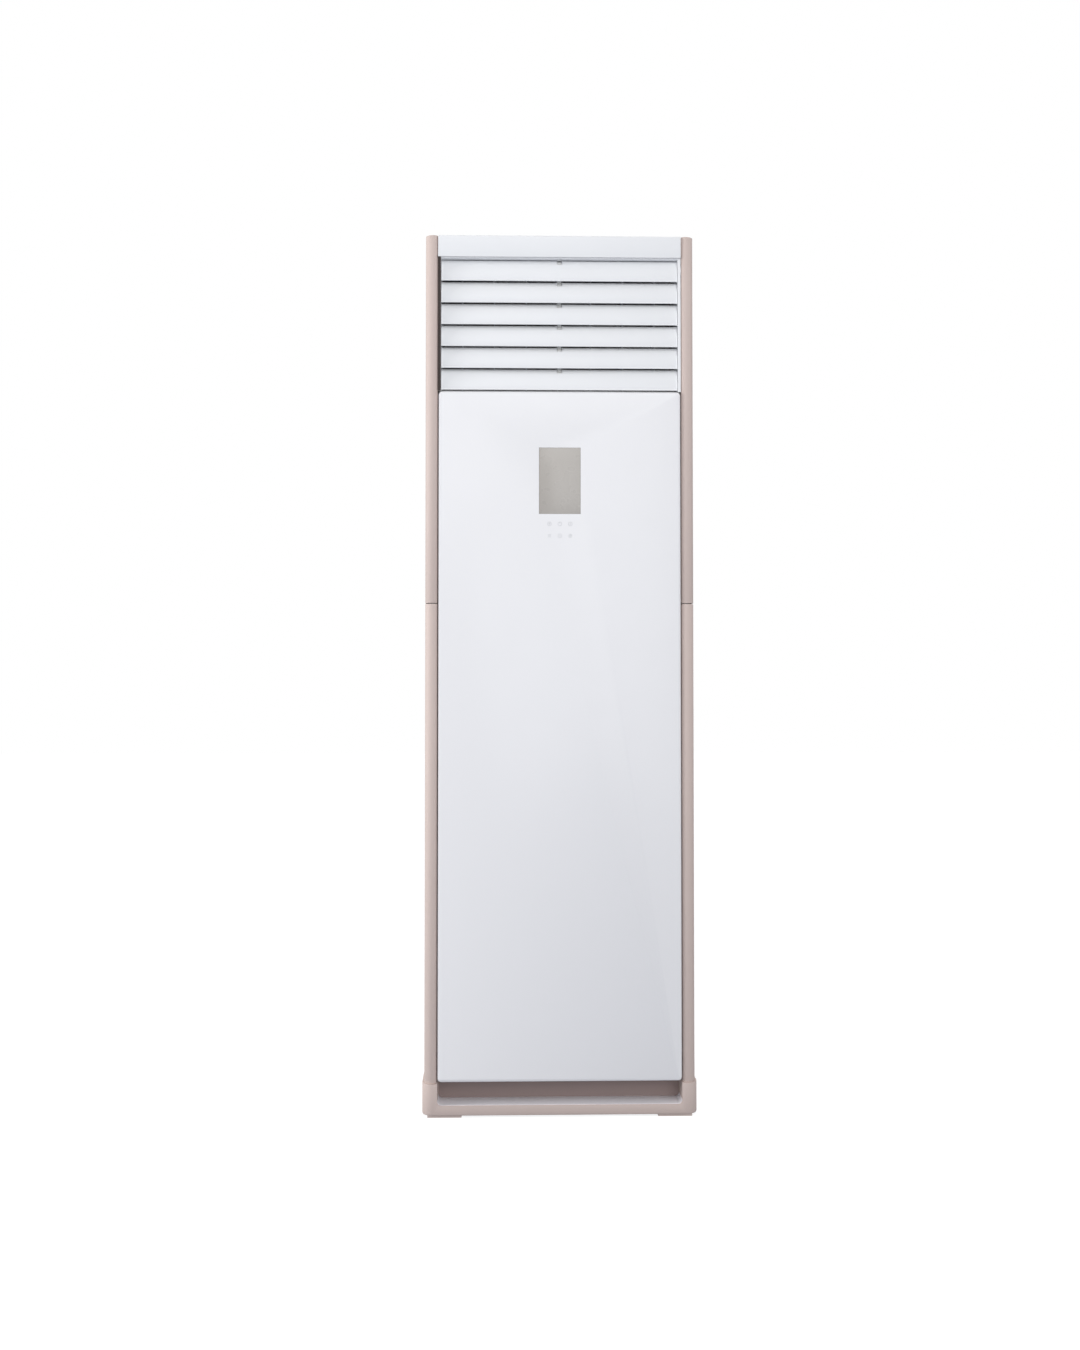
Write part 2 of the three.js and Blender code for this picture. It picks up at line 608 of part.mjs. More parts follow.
// A deep tray with rounded edges, ribs inside and an opening for the display.
function frontPanel() {
  const face = roundedRectangle([-PANEL_HALF, PANEL_HALF], [PANEL_BOTTOM, PANEL_TOP], PANEL_CORNER);
  const whole = prism("y", face, PANEL_FRONT, PANEL_BACK + 3 * PANEL_EDGE, PANEL_EDGE);
  const wide = PANEL_HALF + 1;
  const behind = block(
    [-wide, wide],
    [PANEL_BACK, PANEL_BACK + 4 * PANEL_EDGE],
    [PANEL_BOTTOM - 1, PANEL_TOP + 1],
  );
  const half = PANEL_HALF - WALL;
  const pocket = block(
    [-half, half],
    [PANEL_FRONT + WALL, PANEL_BACK + 1],
    [PANEL_BOTTOM + WALL, PANEL_TOP - WALL],
  );
  const opening = block(
    [-WINDOW_WIDTH / 2, WINDOW_WIDTH / 2],
    [PANEL_FRONT - 1, PANEL_BACK],
    [WINDOW_BOTTOM, WINDOW_TOP],
  );
  const tray = cut(whole, behind, pocket);
  const ribs = [];
  const lowest = WINDOW_BOTTOM - TOUCH_HEIGHT - 40;
  for (let i = 1; i <= PANEL_RIBS; i++) {
    const z = PANEL_BOTTOM + (i * (lowest - PANEL_BOTTOM)) / PANEL_RIBS;
    ribs.push(block([-half - 1, half + 1], [PANEL_FRONT + WALL - 1, PANEL_BACK - 4], [z, z + 2]));
  }
  return cut(join(tray, ribs), opening);
}

// The window fills its opening and is held by a flange behind the panel's wall.
function displayWindow() {
  const half = WINDOW_WIDTH / 2 - SEAT;
  const back = PANEL_FRONT + WALL + SEAT;
  const lens = block(
    [-half, half],
    [PANEL_FRONT + SEAT, back + 0.5],
    [WINDOW_BOTTOM + SEAT, WINDOW_TOP - SEAT],
  );
  const out = half + WINDOW_FLANGE;
  const flange = block(
    [-out, out],
    [back, back + 2],
    [WINDOW_BOTTOM - WINDOW_FLANGE, WINDOW_TOP + WINDOW_FLANGE],
  );
  return join(lens, flange);
}

// The board behind the window; its lower part carries the touch sensors.
function displayBoard() {
  const y = PANEL_FRONT + WALL + 2 + 2 * SEAT;
  const half = WINDOW_WIDTH / 2;
  const board = block([-half, half], [y, y + BOARD], [WINDOW_BOTTOM - TOUCH_HEIGHT, WINDOW_TOP]);
  const springs = [];
  for (const [column, row] of touchPlaces()) {
    springs.push(rod("y", 3, PANEL_FRONT + WALL + SEAT, y + 0.5, [column, row], 6));
  }
  const chip = block([-12, 12], [y + 0.5, y + BOARD + 3], [WINDOW_BOTTOM + 30, WINDOW_BOTTOM + 54]);
  const socket = block([14, 30], [y + 0.5, y + BOARD + 5], [WINDOW_BOTTOM - 40, WINDOW_BOTTOM - 32]);
  return join(board, springs, chip, socket);
}

function touchPlaces() {
  const places = [];
  for (const z of [WINDOW_BOTTOM - 20, WINDOW_BOTTOM - 44]) {
    for (const x of [-21, 0, 21]) places.push([x, z]);
  }
  return places;
}

// A slotted plate on the rear panel, for a strap to the wall that stops the tall cabinet from tipping.
function tiltBracket() {
  const half = 40;
  const y = BACK + SEAT;
  const leg = block([-half, half], [y, y + SHEET], [CABINET_TOP - 90, CABINET_TOP - 20]);
  const slots = [-1, 1].map((side) => {
    const x = (side * half * 3) / 5;
    const slot = roundedRectangle([x - 4, x + 4], [CABINET_TOP - 70, CABINET_TOP - 40], 3.9);
    return prism("y", slot, y - 1, y + 5, 0, 2);
  });
  return cut(leg, slots);
}

function gland() {
  const reach = BACK - SHEET;
  const body = join(
    rod("y", GLAND_RADIUS, reach - 10, BACK + SEAT + 1, [GLAND_X, GLAND_Z], 16),
    rod("y", GLAND_RADIUS + 5, BACK + SEAT, BACK + WALL, [GLAND_X, GLAND_Z], 6),
    rod("y", GLAND_RADIUS + 4, reach - SEAT - 6, reach - SEAT, [GLAND_X, GLAND_Z], 6),
  );
  return cut(body, rod("y", 5.5, reach - 20, BACK + 10, [GLAND_X, GLAND_Z], 12));
}

// ---------------------------------------------------------------- outlet
function louvreZ(i) {
  return OUTLET_TOP - (i + 0.5) * LOUVRE_PITCH;
}

function vaneX(i) {
  return (i - (VANE_COUNT - 1) / 2) * VANE_PITCH;
}

// Open front and back, with holes for the louvres' and the vanes' pins and a rim beside the blades.
function outletDuct() {
  const inner = DUCT_HALF - WALL;
  const across = [-inner, inner];
  const outer = block([-DUCT_HALF, DUCT_HALF], [DUCT_FRONT, DUCT_BACK], [DUCT_BOTTOM, DUCT_TOP]);
  const throat = block(across, [DUCT_FRONT - 1, DUCT_BACK + 1], [DUCT_INNER_BOTTOM, DUCT_INNER_TOP]);
  const sill = block(
    across,
    [DUCT_FRONT - 1, DUCT_FRONT + OUTLET_SILL],
    [DUCT_BOTTOM - 1, DUCT_INNER_BOTTOM + 1],
  );
  const rims = [-1, 1].map((side) =>
    block(
      [side * (DUCT_HALF - 1), side * (COLUMN_INNER - SEAT)],
      [DUCT_FRONT, DUCT_FRONT + WALL],
      [DUCT_BOTTOM, CAP_BOTTOM],
    ),
  );
  const holes = [];
  for (let i = 0; i < LOUVRE_COUNT; i++) {
    const at = [LOUVRE_Y, louvreZ(i)];
    for (const side of [-1, 1]) {
      const through = [side * (inner - 1), side * (DUCT_HALF + 1)];
      holes.push(rod("x", LOUVRE_PIN + PIN_PLAY, ...through, at, 6));
    }
  }
  for (let i = 0; i < VANE_COUNT; i++) {
    const at = [vaneX(i), VANE_Y];
    holes.push(rod("z", VANE_PIN + PIN_PLAY, DUCT_BOTTOM - 1, DUCT_INNER_BOTTOM + 1, at, 6));
    holes.push(rod("z", VANE_PIN + PIN_PLAY, DUCT_INNER_TOP - 1, DUCT_TOP + 1, at, 6));
  }
  return cut(join(outer, rims), throat, sill, holes);
}

// A louvre about its own pivot, chord upright: convex front, end pins, and a notch in the upper edge where
// two lugs hold the crank pin.
function louvre() {
  const half = LOUVRE_CHORD / 2;
  const edge = 1.2;
  const front = -0.62 * LOUVRE_THICK;
  const rear = 0.38 * LOUVRE_THICK;
  const section = new THREE.Shape();
  section.moveTo(-edge, -half);
  section.lineTo(edge, -half);
  section.quadraticCurveTo(2 * rear - edge, 0, edge, half);
  section.lineTo(-edge, half);
  section.quadraticCurveTo(2 * front + edge, 0, -edge, -half);
  const blade = extrusion("x", section, -LOUVRE_HALF, LOUVRE_HALF);
  const place = blade.getAttribute("position");
  for (let i = 0; i < place.count; i++) {
    const inset = LOUVRE_FLARE * (place.getZ(i) / LOUVRE_CHORD + 0.5);
    place.setX(i, place.getX(i) - Math.sign(place.getX(i)) * inset);
  }
  const lugInner = LINK_WIDTH / 2 + 0.6;
  const lugOuter = lugInner + WALL;
  const notch = block([-lugOuter, lugOuter], [-half, half], [half - 8.5, half + 1]);
  const reach = CRANK_PIN + 1.4;
  const corners = [0, reach, reach, 0];
  const lug = roundedRectangle([0, CRANK_BACK + reach], [half - 11, CRANK_UP + reach], corners);
  const lugs = [-1, 1].map((side) => prism("x", lug, side * lugInner, side * (lugOuter + 0.5), 0, 1));
  const crank = rod("x", CRANK_PIN, -lugOuter, lugOuter, [CRANK_BACK, CRANK_UP], 6);
  const pins = [-1, 1].map((side) =>
    rod("x", LOUVRE_PIN, side * (LOUVRE_HALF - 6), side * DUCT_HALF, [0, 0], 6),
  );
  return join(cut(solid(blade), notch), lugs, crank, pins);
}

// The upright link, about the first louvre's crank pin: one strip with an eye for each blade.
function louvreLink() {
  const bottom = -(LOUVRE_COUNT - 1) * LOUVRE_PITCH;
  const across = [-LINK_WIDTH / 2, LINK_WIDTH / 2];
  const eyes = [];
  const bores = [];
  for (let i = 0; i < LOUVRE_COUNT; i++) {
    eyes.push(rod("x", LINK_EYE, ...across, [0, -i * LOUVRE_PITCH], 8));
    bores.push(rod("x", CRANK_PIN + PIN_PLAY, -LINK_WIDTH, LINK_WIDTH, [0, -i * LOUVRE_PITCH], 6));
  }
  const strip = block(across, [-LINK_THICK / 2, LINK_THICK / 2], [bottom, 0]);
  return cut(join(strip, eyes), bores);
}

// An upright vane about its own pivot, with a notch in its rear edge that a crank pin crosses.
function vane() {
  const half = VANE_CHORD / 2;
  const tall = (DUCT_INNER_TOP - DUCT_INNER_BOTTOM) / 2;
  const face = roundedRectangle([-half, half], [-tall + 4, tall - 4], 6);
  const plate = prism("x", face, -VANE_THICK / 2, VANE_THICK / 2, 0, 1);
  const notch = block([-VANE_THICK, VANE_THICK], [VANE_CRANK - 8, half + 1], [-5, 5]);
  const crank = rod("z", VANE_CRANK_PIN, -6, 6, [0, VANE_CRANK], 6);
  const pins = [-1, 1].map((end) => rod("z", VANE_PIN, end * (tall - 10), end * (tall + WALL), [0, 0], 6));
  return join(cut(plate, notch), crank, pins);
}

function vaneLink() {
  const length = (VANE_COUNT - 1) * VANE_PITCH;
  const strip = block([-5, length + 5], [-4, 4], [-LINK_THICK / 2, LINK_THICK / 2]);
  const bores = [];
  for (let i = 0; i < VANE_COUNT; i++) {
    bores.push(rod("z", VANE_CRANK_PIN + PIN_PLAY, -LINK_THICK, LINK_THICK, [i * VANE_PITCH, 0], 6));
  }
  return cut(strip, bores);
}

// A small flat motor with two mounting ears, behind the wall that its shaft passes.
function smallMotor() {
  const can = rod("z", MOTOR_SMALL_R, 0, MOTOR_SMALL_LENGTH, [MOTOR_SHAFT_OFFSET, 0], 16);
  const ears = roundedRectangle(
    [MOTOR_SHAFT_OFFSET - 4, MOTOR_SHAFT_OFFSET + 4],
    [-MOTOR_SMALL_R - 7, MOTOR_SMALL_R + 7],
    3.9,
  );
  const socket = block([MOTOR_SHAFT_OFFSET + 8, MOTOR_SHAFT_OFFSET + MOTOR_SMALL_R + 3], [-7, 7], [3, 15]);
  return join(can, prism("z", ears, 0, SHEET, 0, 2), socket);
}

// ---------------------------------------------------------------- fan
// The scroll's outline seen from the front: a spiral from the tongue round to the neck, offset outwards.
function scrollOutline(offset, top) {
  const neck = SCROLL_NECK_X - offset;
  const start = Math.acos(neck / (SCROLL_INNER + offset));
  const steps = 24;
  const points = [];
  for (let i = 0; i <= steps; i++) {
    const angle = start + (i * (2 * Math.PI - start)) / steps;
    const radius = scrollRadius(angle) + offset;
    points.push([radius * Math.cos(angle), FAN_Z + radius * Math.sin(angle)]);
  }
  points.push([SCROLL_OUTER + offset, top]);
  points.push([neck, top]);
  return outline(points);
}

// Two plates and a spiral wall; the plates' lower ends stand on the base plate.
function scrollHousing() {
  const top = PARTITION - SEAT;
  const y0 = SCROLL_Y0;
  const y1 = SCROLL_Y1 + WALL;
  const half = SCROLL_INNER * 0.9;
  const footLength = 15;
  const whole = prism("y", scrollOutline(WALL, top), y0 - WALL, y1);
  const hollow = prism("y", scrollOutline(0, top + 5), y0, SCROLL_Y1);
  const inlet = rod("y", FAN_INNER + 9, y0 - WALL - 1, y0 + 1, [0, FAN_Z], 20);
  const shaftHole = rod("y", HUB_RADIUS, SCROLL_Y1 - 1, y1 + 1, [0, FAN_Z], 20);
  const stand = outline([
    [-half, PLATE_TOP + SEAT],
    [half, PLATE_TOP + SEAT],
    [half, FAN_Z - SCROLL_INNER * 0.75],
    [-half, FAN_Z - SCROLL_INNER * 0.75],
  ]);
  const stands = [
    [y0 - WALL, y0],
    [SCROLL_Y1, y1],
  ].map(([a, b]) => cut(prism("y", stand, a, b), prism("y", scrollOutline(0, top + 5), a - 1, b + 1)));
  const feet = [
    [y0 - WALL - footLength, y0],
    [SCROLL_Y1, y1 + footLength],
  ].map(([a, b]) => block([-half, half], [a, b], [PLATE_TOP + SEAT, PLATE_TOP + SEAT + SHEET * 2]));
  return join(cut(whole, hollow, inlet, shaftHole), stands, feet);
}

// A bell mouth that leads the air into the wheel.
function inletRing() {
  const y = SCROLL_Y0 - WALL - SEAT;
  const throat = FAN_INNER - 4;
  const profile = new THREE.Shape();
  profile.moveTo(throat + 32, y - 2);
  profile.lineTo(throat + 32, y);
  profile.lineTo(throat + 10, y);
  profile.quadraticCurveTo(throat, y, throat, FAN_FRONT + 6);
  profile.lineTo(throat - 2, FAN_FRONT + 6);
  profile.quadraticCurveTo(throat - 2, y - 2, throat + 10, y - 2);
  const points = profile.getPoints(3);
  points.push(points[0].clone());
  return lathe(points, 20);
}

// A profile (radius, y) turned about the fan's axis.
function lathe(points, segments) {
  const anticlockwise = !THREE.ShapeUtils.isClockWise(points);
  const turned = new THREE.LatheGeometry(anticlockwise ? points : points.slice().reverse(), segments);
  return solid(turned.translate(0, 0, FAN_Z));
}

// The centrifugal wheel: a back disc with its hub, forward-curved blades and a front ring, turning about y.
function fanWheel() {
  const disc = rod("y", FAN_RADIUS, FAN_BACK - FAN_DISC, FAN_BACK, [0, 0], FAN_BLADES);
  const ring = cut(
    rod("y", FAN_RADIUS, FAN_FRONT, FAN_FRONT + 3, [0, 0], FAN_BLADES),
    rod("y", FAN_RADIUS - 8, FAN_FRONT - 1, FAN_FRONT + 4, [0, 0], FAN_BLADES),
  );
  const hub = rod("y", HUB_RADIUS, FAN_BACK - FAN_HUB_DEPTH, FAN_BACK + 8, [0, 0], 16);
  const bore = rod("y", SHAFT_RADIUS + PIN_PLAY, FAN_BACK - 40, FAN_BACK + 20, [0, 0], 16);
  const blades = [];
  for (let i = 0; i < FAN_BLADES; i++) {
    const turn = (i * 2 * Math.PI) / FAN_BLADES;
    blades.push(prism("y", fanBlade(turn), FAN_FRONT + 1, FAN_BACK - FAN_DISC / 2));
  }
  return cut(join(disc, ring, hub, blades), bore);
}

// A blade's section leans forward, more so towards the rim.
function fanBlade(turn) {
  const thickness = 1.6;
  const steps = 2;
  const rim = FAN_RADIUS - 2;
  const faces = [-1, 1].map((face) => {
    const points = [];
    for (let i = 0; i <= steps; i++) {
      const share = i / steps;
      const radius = FAN_INNER + share * (rim - FAN_INNER);
      const angle = turn + 0.13 * share * share + (face * thickness) / (2 * radius);
      points.push([radius * Math.cos(angle), radius * Math.sin(angle)]);
    }
    return points;
  });
  return outline([...faces[0], ...faces[1].reverse()]);
}

function fanShaft() {
  return rod("y", SHAFT_RADIUS, FAN_BACK - 50, MOTOR_FRONT + 18, [0, 0], 16);
}

function fanNut() {
  const y = FAN_BACK - FAN_HUB_DEPTH - SEAT;
  const body = rod("y", HUB_RADIUS * 0.6, y - 10, y, [0, 0], 6);
  return cut(body, rod("y", SHAFT_RADIUS + PIN_PLAY, y - 11, y + 1, [0, 0], 16));
}

// A ring with four arms that carries the motor on the scroll's back plate.
function motorMount() {
  const y = SCROLL_Y1 + WALL + SEAT;
  const ring = rod("y", MOTOR_RADIUS + 12, y, y + 2 * SHEET, [0, FAN_Z], 20);
  const reach = MOTOR_RADIUS + MOUNT_REACH;
  const arms = [1, -1].map((lean) => {
    const half = 12;
    const arm = outline([
      [-reach, -half],
      [reach, -half],
      [reach, half],
      [-reach, half],
    ]);
    const turned = extrusion("y", arm, y, y + 2 * SHEET).rotateY((lean * Math.PI) / 4);
    return solid(turned.translate(0, 0, FAN_Z));
  });
  return cut(join(ring, arms), rod("y", HUB_RADIUS + 12, y - 1, y + 2 * SHEET + 1, [0, FAN_Z], 16));
}

function fanMotor() {
  const end = MOTOR_FRONT + MOTOR_LENGTH;
  const can = rod("y", MOTOR_RADIUS, MOTOR_FRONT, end - 8, [0, FAN_Z], 20);
  const bell = rod("y", MOTOR_RADIUS - 8, end - 9, end, [0, FAN_Z], 20);
  const bore = rod("y", SHAFT_RADIUS + PIN_PLAY, MOTOR_FRONT - 1, MOTOR_FRONT + 20, [0, FAN_Z], 16);
  const ribs = [];
  const ribCount = 12;
  for (let i = 0; i < ribCount; i++) {
    const angle = (i * 2 * Math.PI) / ribCount;
    const at = [(MOTOR_RADIUS - 1) * Math.cos(angle), FAN_Z + (MOTOR_RADIUS - 1) * Math.sin(angle)];
    ribs.push(rod("y", 3, MOTOR_FRONT + 6, end - 12, at, 4));
  }
  return cut(join(can, bell, ribs), bore);
}

// ---------------------------------------------------------------- coil, water and refrigerant
// A point of the slanted coil's own frame, in the cabinet's frame.
function coilPoint(x, y, z) {
  const point = new THREE.Vector3(x, y, z).applyAxisAngle(new THREE.Vector3(1, 0, 0), -COIL_TILT);
  return point.add(new THREE.Vector3(0, COIL_Y, COIL_Z));
}

const GAS_ROUTE = gasRoute();
const LIQUID_ROUTE = liquidRoute();

function gasRoute() {
  const start = coilPoint(HEADER_X, 2 * HEADER_RADIUS + SEAT, COIL_LENGTH / 2);
  return downAtTheBack(start, BACK - SHEET - GAS_ROOM);
}

function liquidRoute() {
  const start = coilPoint(HEADER_X, COIL_THICK / 2 + SEAT, COIL_LENGTH - LIQUID_DROP);
  return downAtTheBack(start, BACK - SHEET - LIQUID_ROOM);
}

// From a start on the coil square out of its back, then straight down to the connections.
function downAtTheBack(start, y) {
  const out = coilPoint(start.x, 1, 0).sub(coilPoint(start.x, 0, 0));
  const knee = start.clone().addScaledVector(out, (y - start.y) / out.y);
  return [start.toArray(), knee.toArray(), [knee.x, knee.y, PIPE_HOLE_Z + PIPE_RISE]];
}

// The shelf between the fan's room and the coil's, open over the scroll's neck.
function partitionPlate() {
  const half = INNER_HALF - 1;
  const plate = block([-half, half], [POST_WEB + SHEET + SEAT, CHAMBER_BACK], [PARTITION, PARTITION_TOP]);
  const holes = [
    block([SCROLL_NECK_X, SCROLL_OUTER], [SCROLL_Y0, SCROLL_Y1], [PARTITION - 1, PARTITION_TOP + 1]),
    rod("z", GAS_PIPE + 2, PARTITION - 1, PARTITION_TOP + 1, GAS_ROUTE[1].slice(0, 2)),
    rod("z", LIQUID_PIPE + 2, PARTITION - 1, PARTITION_TOP + 1, LIQUID_ROUTE[1].slice(0, 2)),
    rod("z", HOSE_RADIUS + 2, PARTITION - 1, PARTITION_TOP + 1, [HOSE_X, HOSE_Y]),
  ];
  return cut(plate, holes);
}

// A steel surround for the coil: a front plate and two sides.
function coilChamber() {
  const [low, high] = [PARTITION_TOP + SEAT, DUCT_BOTTOM - SEAT];
  const inner = CHAMBER_HALF - SHEET;
  const whole = block([-CHAMBER_HALF, CHAMBER_HALF], [CHAMBER_FRONT, CHAMBER_BACK], [low, high]);
  const room = block([-inner, inner], [CHAMBER_FRONT + SHEET, CHAMBER_BACK + 1], [low - 1, high + 1]);
  return cut(whole, room);
}

// The fin pack, in its own frame: lower end at z = 0, shallow steps where the tube rows part.
function finBlock() {
  const half = COIL_THICK / 2;
  const pack = block([COIL_LEFT, COIL_RIGHT], [-half, half], [0, COIL_LENGTH]);
  const across = [COIL_LEFT - 1, COIL_RIGHT + 1];
  const rows = 6;
  const grooves = [];
  for (let i = 1; i < rows; i++) {
    const z = (i * COIL_LENGTH) / rows;
    for (const face of [-1, 1]) {
      grooves.push(block(across, [face * half, face * (half - SHEET)], [z - 1, z + 1]));
    }
  }
  return cut(pack, grooves);
}

function coilEndLeft() {
  const half = COIL_THICK / 2;
  return block([COIL_LEFT - SEAT - SHEET, COIL_LEFT - SEAT], [-half, half], [0, COIL_LENGTH]);
}

// A channel whose flanges bridge the bends' side of the coil.
function coilEndRight() {
  const half = COIL_THICK / 2;
  const web = COIL_RIGHT + SEAT;
  const reach = COIL_HALF;
  const channel = outline([
    [web, -half],
    [reach, -half],
    [reach, -half + SHEET],
    [web + SHEET, -half + SHEET],
    [web + SHEET, half - SHEET],
    [reach, half - SHEET],
    [reach, half],
    [web, half],
  ]);
  const gasWindow = rod("y", GAS_PIPE + 3, 0, half + 2, [HEADER_X, COIL_LENGTH / 2]);
  return cut(prism("z", channel, 0, COIL_LENGTH), gasWindow);
}

// The suction header with a stub to each circuit of the coil.
function suctionHeader() {
  const high = COIL_LENGTH - HEADER_DROP;
  const inset = 20; // outermost stubs from the header's ends
  const stubs = [];
  for (let i = 0; i < HEADER_CIRCUITS; i++) {
    const z = HEADER_LOW + inset + (i * (high - HEADER_LOW - 2 * inset)) / (HEADER_CIRCUITS - 1);
    stubs.push(rod("x", 3.5, COIL_RIGHT + SHEET + 2 * SEAT, HEADER_X, [HEADER_RADIUS, z], 8));
  }
  return join(rod("z", HEADER_RADIUS, HEADER_LOW, high, [HEADER_X, HEADER_RADIUS], 12), stubs);
}

// A trough under the coil's lower end with a spigot for the hose.
function drainPan() {
  const y0 = CHAMBER_FRONT + SHEET + SEAT;
  const y1 = y0 + PAN_DEPTH;
  const whole = block([-PAN_HALF, PAN_HALF], [y0, y1], [PAN_BOTTOM, PAN_BOTTOM + PAN_HEIGHT]);
  const floor = PAN_BOTTOM + WALL;
  const hollow = block(
    [-PAN_HALF + WALL, PAN_HALF - WALL],
    [y0 + WALL, y1 - WALL],
    [floor, PAN_BOTTOM + PAN_HEIGHT + 1],
  );
  const at = [HOSE_X, HOSE_Y];
  const spigot = rod("z", HOSE_RADIUS - 2, PAN_BOTTOM - SPIGOT, PAN_BOTTOM + 1, at);
  const bore = rod("z", HOSE_RADIUS - 4, PAN_BOTTOM - SPIGOT - 1, floor + 1, at, 10);
  return cut(join(cut(whole, hollow), spigot), bore);
}

// The hose hangs from the spigot through the partition and turns back along the floor.
function drainHose() {
  const top = PAN_BOTTOM - SPIGOT - SEAT;
  const low = PLATE_TOP + HOSE_RADIUS + 1;
  const route = [
    [HOSE_X, HOSE_Y, top],
    [HOSE_X, HOSE_Y, low],
    [HOSE_X, BACK - HOSE_BEND, low],
  ];
  return pipe(route, HOSE_RADIUS, HOSE_BEND);
}

function flareNut(route, radius) {
  const [x, y, z] = route[2];
  const hex = rod("z", radius * 1.75, z + 6, z + 6 + radius * 3, [x, y], 6);
  return cut(hex, rod("z", radius + PIN_PLAY, z, z + radius * 4 + 6, [x, y], 16));
}

// ---------------------------------------------------------------- electrical
function controlBox() {
  const half = BOX_WIDTH / 2;
  const z = [BOX_BOTTOM, BOX_BOTTOM + BOX_HEIGHT];
  const y = [BOX_BACK - BOX_DEPTH, BOX_BACK];
  const hollow = block(
    [-half + SHEET, half - SHEET],
    [y[0] - 1, y[1] - SHEET],
    [z[0] + SHEET, z[1] - SHEET],
  );
  const entries = [-1, 0, 1].map((column) =>
    rod("z", 10, z[0] - 1, z[0] + SHEET + 1, [(column * half) / 2, BOX_BACK - BOX_DEPTH / 2]),
  );
  return cut(block([-half, half], y, z), hollow, entries);
}

function controlBoxCover() {
  const half = BOX_WIDTH / 2;
  const y = BOX_BACK - BOX_DEPTH - SEAT;
  const plate = block([-half, half], [y - SHEET, y], [BOX_BOTTOM, BOX_BOTTOM + BOX_HEIGHT]);
  const pressed = block(
    [-half + 20, half - 20],
    [y - SHEET - 2, y - SHEET + 0.5],
    [BOX_BOTTOM + 20, BOX_BOTTOM + BOX_HEIGHT - 20],
  );
  return join(plate, pressed);
}

// The board stands on four pillars in the upper part of the box.
function mainBoard() {
  const half = BOX_WIDTH / 2 - BOARD_MARGIN;
  const wall = BOX_BACK - SHEET - SEAT;
  const y = wall - 7;
  const z = [BOX_BOTTOM + BOARD_LIFT, BOX_BOTTOM + BOX_HEIGHT - BOARD_MARGIN];
  const board = block([-half, half], [y - BOARD, y], z);
  const pillars = [];
  for (const x of [-half + 8, half - 8]) {
    for (const height of [z[0] + 8, z[1] - 8]) pillars.push(rod("y", 4, y - 1, wall, [x, height], 8));
  }
  const parts = [
    block([-half + 14, -half + 54], [y - BOARD - 24, y - 0.5], [z[1] - 60, z[1] - 22]),
    block([half - 60, half - 14], [y - BOARD - 12, y - 0.5], [z[1] - 52, z[1] - 20]),
    block([-14, 14], [y - BOARD - 3, y - 0.5], [z[0] + 50, z[0] + 78]),
    block([half - 70, half - 10], [y - BOARD - 9, y - 0.5], [z[0] + 8, z[0] + 18]),
    rod("y", 9, y - BOARD - 22, y - 0.5, [-half + 30, z[0] + 34], 14),
  ];
  return join(board, pillars, parts);
}

function terminalBlock() {
  const wall = BOX_BACK - SHEET - SEAT;
  const ways = 5;
  const pitch = 15;
  const x0 = BOX_WIDTH / 2 - 18 - ways * pitch;
  const z0 = BOX_BOTTOM + 46;
  const base = block([x0, x0 + ways * pitch], [wall - 8, wall], [z0, z0 + 28]);
  const barriers = [];
  for (let i = 0; i <= ways; i++) {
    const x = x0 + i * pitch;
    barriers.push(block([x - 1.2, x + 1.2], [wall - 20, wall - 7], [z0, z0 + 28]));
  }
  return join(base, barriers);
}

function capacitor() {
  const wall = BOX_BACK - SHEET - SEAT;
  const at = [-BOX_WIDTH / 2 + 44, wall - 17];
  const z0 = BOX_BOTTOM + 24;
  const strap = rod("z", 18, z0 + 34, z0 + 46, at, 16);
  const foot = block([at[0] - 28, at[0] + 28], [wall - 2, wall], [z0 + 34, z0 + 46]);
  const behind = block([-BOX_WIDTH, BOX_WIDTH], [wall, wall + 9], [z0, z0 + 90]);
  return join(rod("z", 16, z0, z0 + 76, at, 16), cut(strap, behind), foot);
}

// ---------------------------------------------------------------- inlet panels and filters
// The lower side moulding with its column, slots for the air and rails for the filter.
function inletPanel(side) {
  const wall = prism("z", onSide(sideProfile(), side), PLATE_BOTTOM, SIDE_SPLIT);
  const slots = [];
  for (let row = 0; row < SLOT_ROWS; row++) {
    const z = PLATE_BOTTOM + SLOT_LIFT + row * SLOT_PITCH;
    slots.push(
      block(
        [side * (CABINET_HALF - WALL - 1), side * (CABINET_HALF + 1)],
        [FILTER_Y0 + SLOT_MARGIN, FILTER_Y1 - SLOT_MARGIN],
        [z, z + SLOT_HEIGHT],
      ),
    );
  }
  return join(cut(wall, slots), filterRails(side));
}

// Two grooved rails and a ledge that hold the filter behind the slots.
function filterRails(side) {
  const base = CABINET_HALF - WALL;
  const across = [side * (base + 0.5), side * INNER_HALF];
  const groove = [side * (FILTER_OUTER + SEAT), side * (FILTER_OUTER - FILTER_THICK - SEAT)];
  const overlap = 7; // how far the rails reach over the filter's edges
  const rails = [
    [FILTER_Y0, -1],
    [FILTER_Y1, 1],
  ].map(([y, end]) => {
    const rail = block(
      across,
      [y + end * (SEAT + WALL), y - end * overlap],
      [FILTER_BOTTOM - SEAT - WALL, FILTER_BOTTOM + FILTER_HEIGHT],
    );
    const slot = block(
      groove,
      [y + end * SEAT, y - 2 * end * overlap],
      [FILTER_BOTTOM - SEAT, FILTER_BOTTOM + FILTER_HEIGHT + 1],
    );
    return cut(rail, slot);
  });
  const ledge = block(
    across,
    [FILTER_Y0, FILTER_Y1],
    [FILTER_BOTTOM - SEAT - WALL, FILTER_BOTTOM - SEAT],
  );
  return join(rails, ledge);
}

